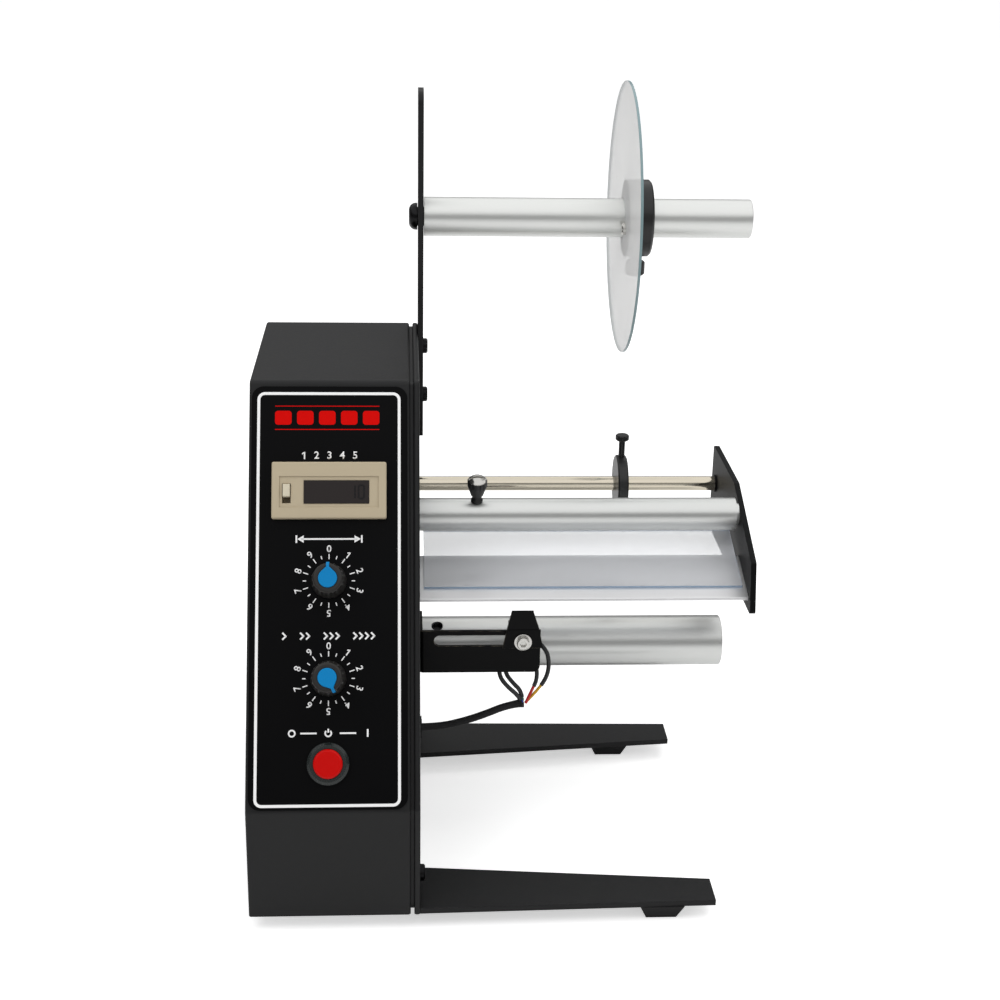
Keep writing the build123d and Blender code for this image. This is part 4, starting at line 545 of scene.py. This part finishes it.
blue_cap = glossy_cap("blue_cap", (0.001, 0.215, 0.52))
red_cap = glossy_cap("red_cap", (0.56, 0.001, 0.0002))
dress(panel_film, "panel_overlay")
dress(beige, "counter_body")
dress(key_beige, "counter_reset_key")
dress(knob_plastic, "length_knob", "speed_knob")
dress(blue_cap, "length_knob_cap", "speed_knob_cap")
dress(red_cap, "power_button_cap")
dress(button_plastic, "power_button_body")
dress(black_plastic, "counter_clip", "disc_hub", "rod_collar", "sensor_head")
dress(black_plastic, "power_inlet", "hub_thumb_screw", "collar_thumb_screw")
dress(feet_rubber, "rubber_feet", "cable_grommet")
print("plastic pieces dressed")


# %% [markdown]
# Bare metal: the three tubes are satin aluminium with faint lines along them, the rod is
# ground steel, and the peel plate is brushed along its edge. Screws are black oxide or
# bright zinc. The hidden drive gets plain working finishes.

# %% Bare metal
ALONG_X = (14.0, 2600.0, 2600.0)
ACROSS_X = (2600.0, 14.0, 14.0)
ALL_WAYS = (900.0, 900.0, 900.0)
ANY_WAY = (60.0, 60.0, 60.0)
DRAWN = {"repeats": ALONG_X, "contrast": 0.03, "depth": 0.0004}
GROUND = {"repeats": ACROSS_X, "contrast": 0.03, "depth": 0.0003}
BRUSHED = {"repeats": ALONG_X, "contrast": 0.06, "depth": 0.001}
aluminium = metal("satin_aluminium", (0.76, 0.77, 0.755), 0.36, **DRAWN)
spindle_metal = metal("spindle_aluminium", (0.84, 0.85, 0.83), 0.38, **DRAWN)
ground_steel = metal("ground_steel", (0.72, 0.66, 0.54), 0.1, **GROUND)
brushed_steel = metal("brushed_steel", (0.84, 0.84, 0.85), 0.42, **BRUSHED)
zinc = metal("bright_zinc", (0.66, 0.65, 0.62), 0.24, ALL_WAYS, contrast=0.14)
sheet_zinc = metal("sheet_zinc", (0.5, 0.51, 0.52), 0.42, ANY_WAY, contrast=0.3)
black_screw = metal("black_oxide", (0.022, 0.022, 0.023), 0.3, ALL_WAYS, contrast=0.2)
brass = metal("turned_brass", (0.72, 0.52, 0.24), 0.25, ACROSS_X, contrast=0.12)
dress(aluminium, "winder_tube", "guide_tube", "guide_tube_ends")
dress(spindle_metal, "spindle_tube", "length_pot_shaft", "speed_pot_shaft")
dress(ground_steel, "guide_rod", "winder_shaft", "shaft_bearings")
dress(brushed_steel, "peel_plate")
dress(zinc, "sensor_screw", "disc_screws", "motor_posts", "potentiometers", "gearbox", "motor")
dress(sheet_zinc, "bottom_plate", "motor_plate", "transformer")
dress(black_screw, "m4_screws", "m3_screws", "spindle_bolt", "winder_hubs")
dress(brass, "motor_pinion")
print("metal pieces dressed")


# %% [markdown]
# The clamp screw of the guide tube has a black knurled grip under a bright slotted dome.
# It is one turned piece, so its finish changes with the height along the screw's own
# axis, which starts in the middle of the tube and leans to the front.

# %% The two-tone clamp screw
CLAMP_FOOT = (26.2, 109.0, 146.0)
CLAMP_LEAN = radians(16.0)
CLAMP_RIM = 19.0
GRIP_BLACK = (0.012, 0.012, 0.0125, 1)
GRIP_ROUGH = 0.38


def make_clamp():
    made, tree, shader = new_finish("clamp_screw")
    skin = metal_skin(tree, (0.62, 0.61, 0.58), 0.2, ALL_WAYS, 0.12)
    edges = use(tree, soft_edges, Radius=0.15 * MM)
    from_tube = tree.nodes.new("ShaderNodeVectorMath")
    from_tube.operation = "SUBTRACT"
    from_tube.inputs[1].default_value = spot(*CLAMP_FOOT)
    tree.links.new(tree.nodes.new("ShaderNodeTexCoord").outputs["Object"], from_tube.inputs[0])
    along = tree.nodes.new("ShaderNodeVectorMath")
    along.operation = "DOT_PRODUCT"
    along.inputs[1].default_value = (0, -sin(CLAMP_LEAN), cos(CLAMP_LEAN))
    tree.links.new(from_tube.outputs[0], along.inputs[0])
    dome = reckon(tree, "GREATER_THAN", along.outputs["Value"], CLAMP_RIM * MM)
    shown = blend(tree, "MIX", dome, GRIP_BLACK, skin.outputs["Color"])
    tree.links.new(shown, shader.inputs["Base Color"])
    tree.links.new(dome, shader.inputs["Metallic"])
    rough = spread(tree, dome, GRIP_ROUGH, skin.outputs["Roughness"])
    tree.links.new(rough, shader.inputs["Roughness"])
    add_bump(tree, shader, skin.outputs["Height"], edges.outputs["Normal"], 0.002 * MM)
    return made


dress(make_clamp(), "guide_tube_screw")
print("clamp screw dressed")


# %% [markdown]
# The roll disc is a sheet of clear plastic, scratched to a slight haze, and its rim looks
# teal, because light travels a long way through it. The guide sheet is clearer, and its
# cut edges catch the light. Both let the picture behind them through by the shader's
# Alpha. A mask from the surface's own normal tells the cut edges from the two flat sides.

# %% Clear plastics
def clear(name, flat_way, rough, flat, rim):
    """Clear sheet whose flat sides face flat_way; flat and rim are (colour, cover)."""
    made, tree, shader = new_finish(name)
    skin = use(tree, grain, Color=(*flat[0], 1), Roughness=rough, Fineness=700.0, Patches=0.03)
    edges = use(tree, soft_edges, Radius=0.2 * MM)
    facing = tree.nodes.new("ShaderNodeVectorMath")
    facing.operation = "DOT_PRODUCT"
    facing.inputs[1].default_value = flat_way
    own_normal = tree.nodes.new("ShaderNodeNewGeometry").outputs["True Normal"]
    tree.links.new(own_normal, facing.inputs[0])
    edge_on = reckon(tree, "LESS_THAN", reckon(tree, "ABSOLUTE", facing.outputs["Value"]), 0.7)
    shown = blend(tree, "MIX", edge_on, skin.outputs["Color"], (*rim[0], 1))
    tree.links.new(shown, shader.inputs["Base Color"])
    tree.links.new(spread(tree, edge_on, flat[1], rim[1]), shader.inputs["Alpha"])
    tree.links.new(skin.outputs["Roughness"], shader.inputs["Roughness"])
    add_bump(tree, shader, skin.outputs["Height"], edges.outputs["Normal"], 0.001 * MM)
    return made


PEEL_TILT = radians(17.5)
SHEET_WAY = (0, -sin(PEEL_TILT), cos(PEEL_TILT))
DISC_LOOK = {"flat": ((0.99, 0.99, 0.985), 0.66), "rim": ((0.2, 0.3, 0.32), 0.95)}
SHEET_LOOK = {"flat": ((0.9, 0.915, 0.95), 0.42), "rim": ((0.42, 0.56, 0.74), 0.85)}
SMOKED = {"depth": 0.001, "patches": 0.05, "edge": 0.2}
NYLON = {"fine": 900.0, "depth": 0.01, "edge": 0.3}
BOARD = {"fine": 300.0, "depth": 0.02, "patches": 0.5, "edge": 0.2}
disc_plastic = clear("hazy_acrylic", (1, 0, 0), 0.3, **DISC_LOOK)
sheet_plastic = clear("clear_sheet", SHEET_WAY, 0.12, **SHEET_LOOK)
lens_plastic = coat("smoked_lens", (0.017, 0.0125, 0.012), 0.16, **SMOKED, mirror=0.2)
dress(disc_plastic, "roll_disc")
dress(sheet_plastic, "clear_sheet")
dress(lens_plastic, "counter_window")
nylon = coat("nylon", (0.78, 0.76, 0.68), 0.45, **NYLON)
board_green = coat("board_green", (0.01, 0.12, 0.05), 0.35, **BOARD)
dress(nylon, "winder_gear", "spindle_plug")
dress(board_green, "control_board")
print("clear pieces dressed")


# %% [markdown]
# The panel is screen printed: a white line with round corners, a scale round each knob and
# a small sign for each control. Ink is a few hundredths of a millimetre thick. Each mark is
# modelled flat in the XY plane, given its thickness, and then laid on the panel.

# %% Tools for printed marks
INK = 0.05
FILM_TOP = 0.8
BOLDER = 0.018
marks = []


def alone():
    """Nothing selected, in object mode."""
    bpy.ops.object.select_all(action="DESELECT")


def settle(piece, place):
    """Puts a flat piece at its place and leaves its object at the origin."""
    alone()
    piece.select_set(True)
    bpy.context.view_layer.objects.active = piece
    piece.matrix_world = place
    bpy.ops.object.transform_apply(location=True, rotation=True, scale=True)
    return piece


def thicken(piece, depth=INK):
    """A flat mesh becomes a thin solid that stands on the XY plane."""
    bpy.context.view_layer.objects.active = piece
    layer = piece.modifiers.new("thickness", "SOLIDIFY")
    layer.thickness = depth * MM
    layer.offset = 1.0
    bpy.ops.object.modifier_apply(modifier=layer.name)
    return piece


def flat_box(width, height, x=0.0, y=0.0):
    """A flat rectangle in the XY plane, sizes in millimetres."""
    alone()
    bpy.ops.mesh.primitive_plane_add(size=MM, location=(x * MM, y * MM, 0))
    piece = bpy.context.object
    piece.scale = (width, height, 1)
    bpy.ops.object.transform_apply(location=True, rotation=True, scale=True)
    return piece


def round_corners(piece, radius, segments=8):
    """Rounds a flat rectangle's corners."""
    bpy.ops.object.mode_set(mode="EDIT")
    bpy.ops.mesh.select_all(action="SELECT")
    bpy.ops.mesh.bevel(offset=radius * MM, segments=segments, affect="VERTICES")
    bpy.ops.object.mode_set(mode="OBJECT")
    return piece


def hollow(piece, line):
    """Leaves only a line of the given width along a flat face's outline."""
    bpy.ops.object.mode_set(mode="EDIT")
    bpy.ops.mesh.select_all(action="SELECT")
    bpy.ops.mesh.inset(thickness=line * MM)
    bpy.ops.mesh.delete(type="FACE")
    bpy.ops.object.mode_set(mode="OBJECT")
    return piece


def joined(name, pieces):
    """Several flat meshes as one piece."""
    alone()
    for piece in pieces:
        piece.select_set(True)
    bpy.context.view_layer.objects.active = pieces[0]
    if len(pieces) > 1:
        bpy.ops.object.join()
    made = bpy.context.object
    made.name = name
    made.data.name = name
    return made


def move_flat(piece, x=0.0, y=0.0, turn=0.0):
    """Turns a flat piece and moves it, both in the XY plane."""
    alone()
    piece.select_set(True)
    bpy.context.view_layer.objects.active = piece
    piece.matrix_world = Matrix.Translation((x * MM, y * MM, 0)) @ Matrix.Rotation(turn, 4, "Z")
    bpy.ops.object.transform_apply(location=True, rotation=True, scale=True)
    return piece


def numeral_one(size):
    """A 1 with a flag: an upright bar and a short slanted one at its top, as shares of size."""
    stem = flat_box(0.13 * size, 0.7 * size, 0.07 * size, 0)
    flag = move_flat(flat_box(0.3 * size, 0.11 * size), -0.05 * size, 0.24 * size, radians(40))
    return joined("one", [stem, flag])


def numeral(text, size, x=0.0, y=0.0, turn=0.0):
    """A plain numeral as a flat mesh, centred on a place."""
    if text == "1":
        return move_flat(numeral_one(size), x, y, turn)
    alone()
    bpy.ops.object.text_add(location=(0, 0, 0))
    words = bpy.context.object
    words.data.body = text
    words.data.size = size * MM
    words.data.align_x = "CENTER"
    words.data.align_y = "CENTER"
    words.data.offset = BOLDER * size * MM
    bpy.ops.object.convert(target="MESH")
    return move_flat(bpy.context.object, x, y, turn)


def lay_mark(piece, finish, x, up, out=FILM_TOP, turn=0.0):
    """Thickens a printed mark, lays it on the panel and lets it ride on the machine."""
    thicken(piece)
    settle(piece, panel_place(x, up, out, turn))
    piece.data.materials.clear()
    piece.data.materials.append(finish)
    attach(piece, "machine")
    marks.append(piece.name)
    return piece


THIN_INK = {"fine": 1500.0, "depth": 0.002}
white_ink = coat("white_ink", (0.95, 0.95, 0.95), 0.45, **THIN_INK, patches=0.04, mirror=0.3)
red_ink = coat("red_ink", (0.66, 0.002, 0.001), 0.45, **THIN_INK, mirror=0.08)
print("ink tools ready")


# %% [markdown]
# The line round the panel is one rectangle. Its corners are rounded with a vertex bevel,
# then an inset leaves a band as wide as the line, and the middle is deleted.

# %% The line round the panel
CONTROL_X = -38.0
LINE_BOX = (60.4, 173.4)
LINE_WIDTH = 1.2
LINE_CORNER = 3.2
LINE_CENTRE = (-38.25, 88.8)
frame_line = hollow(round_corners(flat_box(*LINE_BOX), LINE_CORNER), LINE_WIDTH)
frame_line.name = "panel_line"
lay_mark(frame_line, white_ink, *LINE_CENTRE)
print("panel line", len(frame_line.data.polygons), "faces")


# %% [markdown]
# Each knob has a scale of ten long marks with the numbers 0 to 9, and a short mark halfway
# between each pair. The marks are made once at the top and turned round the centre, and the
# numbers turn with them, so that their tops point outwards.

# %% Scales round the two knobs
STEPS = 20
LONG_MARK = (0.45, 2.2, 10.2)  # width, length, radius
SHORT_MARK = (0.45, 1.4, 10.2)
NUMBER_RADIUS = 13.35
NUMBER_SIZE = 4.0
SCALES = {"length_scale": 95.3, "speed_scale": 54.7}


def make_scale(name):
    pieces = []
    for step in range(STEPS):
        turn = -2 * pi * step / STEPS
        width, length, radius = SHORT_MARK if step % 2 else LONG_MARK
        out = Vector((-sin(turn), cos(turn)))
        pieces.append(move_flat(flat_box(width, length), *(radius * out), turn))
        if step % 2 == 0:
            number = numeral(str(step // 2), NUMBER_SIZE, *(NUMBER_RADIUS * out), turn)
            pieces.append(number)
    return joined(name, pieces)


for name, up in SCALES.items():
    scale = lay_mark(make_scale(name), white_ink, CONTROL_X, up)
    print(name, len(scale.data.polygons), "faces")


# %% [markdown]
# Each control gets a plain sign instead of words: numbers that count up, an arrow between
# two stops for the length, chevrons that crowd together for the speed, and off and on marks
# beside a broken ring for the power. All of them are short straight bars, turned and joined,
# because a bar is easy to place and a ring of many bars looks round at this size.

# %% Bars, arrow heads, chevrons and rings
SIGN_LINE = 0.7
SIGN_HEIGHT = 3.2
ARROW_SIZE = 1.8
RING_BARS = 28
BAR_OVERLAP = 1.15


def arrow_head(x, way):
    """A solid triangle that points along X, with its tip at x."""
    alone()
    bpy.ops.mesh.primitive_circle_add(vertices=3, radius=ARROW_SIZE * MM, fill_type="NGON")
    return move_flat(bpy.context.object, x - way * ARROW_SIZE, 0, -way * pi / 2)


def chevron(x):
    """A bent bar that points right, with its tip at x."""
    arm = SIGN_HEIGHT / 2 / sin(pi / 4)
    reach = arm / 2 * cos(pi / 4)
    rise = arm / 2 * sin(pi / 4)
    bars = []
    for side in (1, -1):
        place = (x - reach, side * (rise - SIGN_LINE / 4))
        bars.append(move_flat(flat_box(arm, SIGN_LINE), *place, -side * pi / 4))
    return bars


def ring(radius, gap=0.0, x=0.0):
    """A ring of short bars, open at the top by twice the gap's angle."""
    sweep = 2 * pi - 2 * gap
    length = sweep * radius / RING_BARS * BAR_OVERLAP
    pieces = []
    for step in range(RING_BARS):
        angle = gap + sweep * (step + 0.5) / RING_BARS
        place = (x + radius * sin(angle), radius * cos(angle))
        pieces.append(move_flat(flat_box(length, SIGN_LINE), *place, -angle))
    return pieces


print("sign pieces ready")


# %% Signs for the four controls
LENGTH_SIGN = 28.0
ARROW_SHAFT_IN = 1.5
CHEVRON_GAP = 2.45
CHEVRON_GROUPS = (1, 2, 3, 4)
POWER_SIGN = 32.5
POWER_GAP = radians(40)
DASH_SHARE = 1 / 2.4
COUNT_SIZE = 4.4
COUNT_PITCH = 5.4
COUNTS = 5
SIGN_PLACES = {"counter_sign": 148.3, "length_sign": 112.9, "speed_sign": 72.3, "power_sign": 32.2}


def count_marks():
    """Numbers that count up from 1."""
    middle = (COUNTS + 1) / 2
    steps = range(1, COUNTS + 1)
    return [numeral(str(step), COUNT_SIZE, COUNT_PITCH * (step - middle)) for step in steps]


def length_marks():
    """An arrow between two stops."""
    half = LENGTH_SIGN / 2
    tip = half - SIGN_LINE
    pieces = []
    for side in (1, -1):
        pieces.append(flat_box(SIGN_LINE, SIGN_HEIGHT, side * (half - SIGN_LINE / 2)))
        pieces.append(arrow_head(side * tip, side))
    return pieces + [flat_box(2 * (tip - ARROW_SHAFT_IN), SIGN_LINE)]


def speed_marks():
    """Groups of one, two, three and four chevrons, from slow to fast."""
    places = []
    x = 0.0
    for count in CHEVRON_GROUPS:
        places += [x + CHEVRON_GAP * step for step in range(count)]
        x = places[-1] + 3 * CHEVRON_GAP
    middle = (places[0] + places[-1]) / 2 - SIGN_HEIGHT / 4
    return [bar for place in places for bar in chevron(place - middle)]


def power_marks():
    """Off at the left, on at the right, and between them a broken ring with a bar."""
    half = POWER_SIGN / 2
    rounded = SIGN_HEIGHT / 2 - SIGN_LINE / 2
    broken = ring(rounded, POWER_GAP)
    broken.append(flat_box(SIGN_LINE, SIGN_HEIGHT / 2, 0, SIGN_HEIGHT / 3))
    dashes = [flat_box(half * DASH_SHARE, SIGN_LINE, side * half / 2) for side in (1, -1)]
    off = ring(rounded, 0.0, rounded - half)
    on = flat_box(SIGN_LINE, SIGN_HEIGHT, half)
    return broken + dashes + off + [on]


makers = (count_marks, length_marks, speed_marks, power_marks)
for (name, up), make_marks in zip(SIGN_PLACES.items(), makers):
    lay_mark(joined(name, make_marks()), white_ink, CONTROL_X, up)
print("signs", list(SIGN_PLACES))


# %% [markdown]
# The head of the panel has a plain red device that says what the machine does: a row of
# labels on their backing strip. Each label is a rounded rectangle, and two thin lines are
# the strip's edges.

# %% Label strip at the head of the panel
STRIP_AT = (-39.0, 164.5)
STRIP_WIDTH = 44.0
LABELS = 5
LABEL_SIZE = (7.0, 6.0)
LABEL_CORNER = 1.3
STRIP_EDGE = 5.0
STRIP_LINE = 0.35


def make_strip():
    pitch = (STRIP_WIDTH - LABEL_SIZE[0]) / (LABELS - 1)
    pieces = []
    for step in range(LABELS):
        label = flat_box(*LABEL_SIZE, -STRIP_WIDTH / 2 + LABEL_SIZE[0] / 2 + step * pitch, 0)
        pieces.append(round_corners(label, LABEL_CORNER, 6))
    pieces += [flat_box(STRIP_WIDTH, STRIP_LINE, 0, side * STRIP_EDGE) for side in (1, -1)]
    return joined("label_strip", pieces)


lay_mark(make_strip(), red_ink, *STRIP_AT)
print("marks on the panel:", marks)


# %% [markdown]
# The counter's display is a liquid crystal behind a smoked lens: the digits are only a
# little darker than their ground. Each digit is up to seven bars, and BARS says where each
# bar lies: across and up, as shares of half the digit, and whether it stands upright.

# %% Digits in the counter's window
WINDOW_AT = (-34.9, 132.4)
GLASS_TOP = 4.15
DIGIT = (2.3, 5.6)
BAR = 0.65
FIRST_DIGIT = 6.6
DIGIT_PITCH = 3.8
BARS = {
    "top": (0, 1, False), "middle": (0, 0, False), "bottom": (0, -1, False),
    "upper_left": (-1, 0.5, True), "upper_right": (1, 0.5, True),
    "lower_left": (-1, -0.5, True), "lower_right": (1, -0.5, True),
}
LIT = (
    ("upper_right", "lower_right"),
    ("top", "upper_left", "upper_right", "lower_left", "lower_right", "bottom"),
)


def make_digit(names, x):
    pieces = []
    for name in names:
        side, height, upright = BARS[name]
        size = (BAR, DIGIT[1] / 2 - BAR / 2) if upright else (DIGIT[0] - BAR, BAR)
        pieces.append(flat_box(*size, x + side * DIGIT[0] / 2, height * DIGIT[1] / 2))
    return pieces


LCD = {"fine": 1500.0, "depth": 0.001, "patches": 0.05}
lcd_ink = coat("lcd_ink", (0.006, 0.005, 0.006), 0.3, **LCD, mirror=0.2)
bars = []
for step, names in enumerate(LIT):
    bars += make_digit(names, FIRST_DIGIT + step * DIGIT_PITCH)
readout = joined("counter_digits", bars)
lay_mark(readout, lcd_ink, *WINDOW_AT, out=GLASS_TOP)
print("readout", len(LIT), "digits")


# %% [markdown]
# The sensor's sheath is a soft rubber tube of 3.4 mm. It runs from the board's terminals
# through the grommet in the side plate and ends in the open, where four thin leads come out
# and go up to the sensor. A NURBS curve with a round bevel keeps such a line smooth, and
# its points are the control points of the route.

# %% Tools for soft cords
def control_points(curve, places):
    """One open NURBS spline through its control points, in the machine's frame."""
    line = curve.splines.new("NURBS")
    line.points.add(len(places) - 1)
    for point, place in zip(line.points, places):
        point.co = (*spot(*place), 1)
    line.order_u = 3
    line.use_endpoint_u = True
    line.resolution_u = 12
    return line


def cord_piece(name, places, diameter, finish, around=6):
    """A round cord along a route."""
    curve = bpy.data.curves.new(name, "CURVE")
    curve.dimensions = "3D"
    curve.bevel_depth = diameter / 2 * MM
    curve.bevel_resolution = around
    curve.use_fill_caps = True
    control_points(curve, places)
    curve.materials.append(finish)
    piece = bpy.data.objects.new(name, curve)
    bpy.context.scene.collection.objects.link(piece)
    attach(piece, "machine")
    return piece


def line_of(places, name="route"):
    """The points of a route's smooth line, read from its spline."""
    curve = bpy.data.curves.new(name, "CURVE")
    curve.dimensions = "3D"
    control_points(curve, places)
    holder = bpy.data.objects.new(name, curve)
    bpy.context.scene.collection.objects.link(holder)
    bpy.context.view_layer.update()
    mesh = bpy.data.meshes.new_from_object(holder)
    points = [vertex.co.copy() for vertex in mesh.vertices]
    bpy.data.objects.remove(holder)
    bpy.data.curves.remove(curve)
    bpy.data.meshes.remove(mesh)
    return points


def length_of(points):
    return sum((b - a).length for a, b in zip(points, points[1:]))


# %% [markdown]
# The sheath's first point lies at the board's terminals, and the next ones lead it to the
# grommet, through it and in a shallow sag up to the sensor. What it measures along its
# middle is read from the finished curve, because a spline is shorter than its corners.

# %% Sheath of the sensor's cable
SHEATH_D = 3.4
SHEATH_ROUTE = (
    (-38.0, 59.0, 27.3), (-37.6, 59.6, 34.5), (-31.0, 61.5, 43.5), (-20.5, 67.5, 50.5),
    (-9.5, 78.0, 54.2), (9.0, 78.0, 54.2), (21.0, 77.5, 57.4), (31.0, 77.0, 61.4),
    (39.0, 76.0, 65.6), (45.4, 75.0, 67.4),
)
sheath = cord_piece("sensor_sheath_skin", SHEATH_ROUTE, SHEATH_D, cable_rubber)
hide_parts("sensor_sheath")
sheath_length = length_of(line_of(SHEATH_ROUTE))
print("sheath", round(sheath_length / MM, 1), "mm")


# %% [markdown]
# Each lead has a coloured skin near the sheath and a black sleeve over its upper part. The
# sleeve follows the same route and is a little thicker. Lead and sleeve are two curves over
# one list of control points: the sleeve takes the points from where it begins.

# %% Four leads and their sleeves
LEAD_D = 1.35
SLEEVE_D = 1.95
LEADS = {
    "blue": (0.015, 0.04, 0.35), "green": (0.02, 0.16, 0.06),
    "red": (0.55, 0.012, 0.01), "yellow": (0.72, 0.4, 0.015),
}
LEAD_ROUTES = (
    (
        (46.6, 74.4, 68.2), (44.6, 74.4, 71.8), (40.0, 75.4, 75.4),
        (36.0, 77.4, 80.0), (36.4, 78.8, 86.6), (41.8, 79.2, 92.3),
    ),
    (
        (46.9, 76.0, 68.4), (46.2, 76.2, 73.0), (42.6, 77.4, 76.2),
        (38.8, 79.4, 80.6), (39.0, 81.2, 86.8), (42.8, 81.8, 92.3),
    ),
    (
        (48.2, 74.4, 67.8), (50.6, 75.2, 73.4), (53.2, 76.4, 78.4),
        (53.0, 78.2, 84.6), (50.2, 79.0, 92.5),
    ),
    (
        (48.2, 76.0, 67.3), (52.6, 76.4, 72.0), (57.6, 77.4, 78.8),
        (58.8, 78.6, 85.6), (57.2, 80.2, 92.4), (52.3, 81.4, 96.0),
    ),
)
SLEEVE_STARTS = (0.06, 0.06, 0.33, 0.27)


def tube_mesh(name, points, radius, finish, sides=12):
    """A closed tube round a line of points, as a mesh."""
    curve = bpy.data.curves.new(name, "CURVE")
    curve.dimensions = "3D"
    curve.bevel_depth = radius
    curve.bevel_resolution = sides // 4
    curve.use_fill_caps = True
    line = curve.splines.new("POLY")
    line.points.add(len(points) - 1)
    for point, place in zip(line.points, points):
        point.co = (*place, 1)
    piece = bpy.data.objects.new(name, curve)
    bpy.context.scene.collection.objects.link(piece)
    alone()
    piece.select_set(True)
    bpy.context.view_layer.objects.active = piece
    bpy.ops.object.convert(target="MESH")
    piece = bpy.context.object
    piece.name = name
    bpy.ops.object.shade_smooth_by_angle(angle=radians(40))
    piece.data.materials.append(finish)
    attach(piece, "machine")
    return piece


SLEEVE_SKIN = {"fine": 1500.0, "depth": 0.01, "patches": 0.2}
LEAD_SKIN = {"fine": 1600.0, "depth": 0.003, "patches": 0.08}
sleeve_rubber = coat("sleeve_rubber", (0.034, 0.035, 0.037), 0.5, **SLEEVE_SKIN, mirror=0.35)
on_sheath = []
for (colour, paint), route, start in zip(LEADS.items(), LEAD_ROUTES, SLEEVE_STARTS):
    skin = coat(colour + "_insulation", paint, 0.35, **LEAD_SKIN)
    lead = cord_piece(colour + "_lead", route, LEAD_D, skin, 4)
    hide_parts("sensor_leads")
    points = line_of(route)
    first = int(start * (len(points) - 1))
    sleeve = tube_mesh(colour + "_sleeve", points[first:], SLEEVE_D / 2 * MM, sleeve_rubber)
    on_sheath += [lead, sleeve]
    print(colour, "lead", round(length_of(points) / MM, 1), "mm")


# %% [markdown]
# The sheath's open end is flared, because the leads push it apart. It is a short ring of
# rubber that widens: a cylinder without caps, its outer end scaled up in edit mode, given
# a wall with Solidify.

# %% Flared mouth of the sheath
MOUTH_LENGTH = 4.6
MOUTH_FLARE = 1.42
MOUTH_FLAT = 0.12
MOUTH_WALL = 0.5
MOUTH_CLEAR = 1.02
MOUTH_PAST_END = 1.6
sheath_line = line_of(SHEATH_ROUTE)
mouth_way = (sheath_line[-1] - sheath_line[-4]).normalized()
alone()
bpy.ops.mesh.primitive_cylinder_add(
    vertices=32, radius=SHEATH_D / 2 * MM * MOUTH_CLEAR, depth=MOUTH_LENGTH * MM,
    end_fill_type="NOTHING",
)
mouth = bpy.context.object
mouth.name = "sheath_mouth"
bpy.ops.object.mode_set(mode="EDIT")
bpy.ops.mesh.select_all(action="SELECT")
bpy.ops.mesh.subdivide(number_cuts=5)
bpy.ops.object.mode_set(mode="OBJECT")
for vertex in mouth.data.vertices:
    along = vertex.co.z / (MOUTH_LENGTH * MM) + 0.5
    grow = 1 + (MOUTH_FLARE - 1) * along ** 2
    vertex.co.x *= grow
    vertex.co.y *= grow * (1 - MOUTH_FLAT * along)
wall = mouth.modifiers.new("wall", "SOLIDIFY")
wall.thickness = MOUTH_WALL * MM
wall.offset = -1.0
bpy.ops.object.modifier_apply(modifier=wall.name)
bpy.ops.object.shade_smooth_by_angle(angle=radians(50))
mouth_middle = sheath_line[-1] - mouth_way * (MOUTH_LENGTH / 2 - MOUTH_PAST_END) * MM
mouth_turn = mouth_way.to_track_quat("Z", "Y").to_matrix().to_4x4()
settle(mouth, Matrix.Translation(mouth_middle) @ mouth_turn)
mouth.data.materials.append(cable_rubber)
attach(mouth, "machine")
on_sheath.append(mouth)
print("mouth", len(mouth.data.vertices), "vertices")
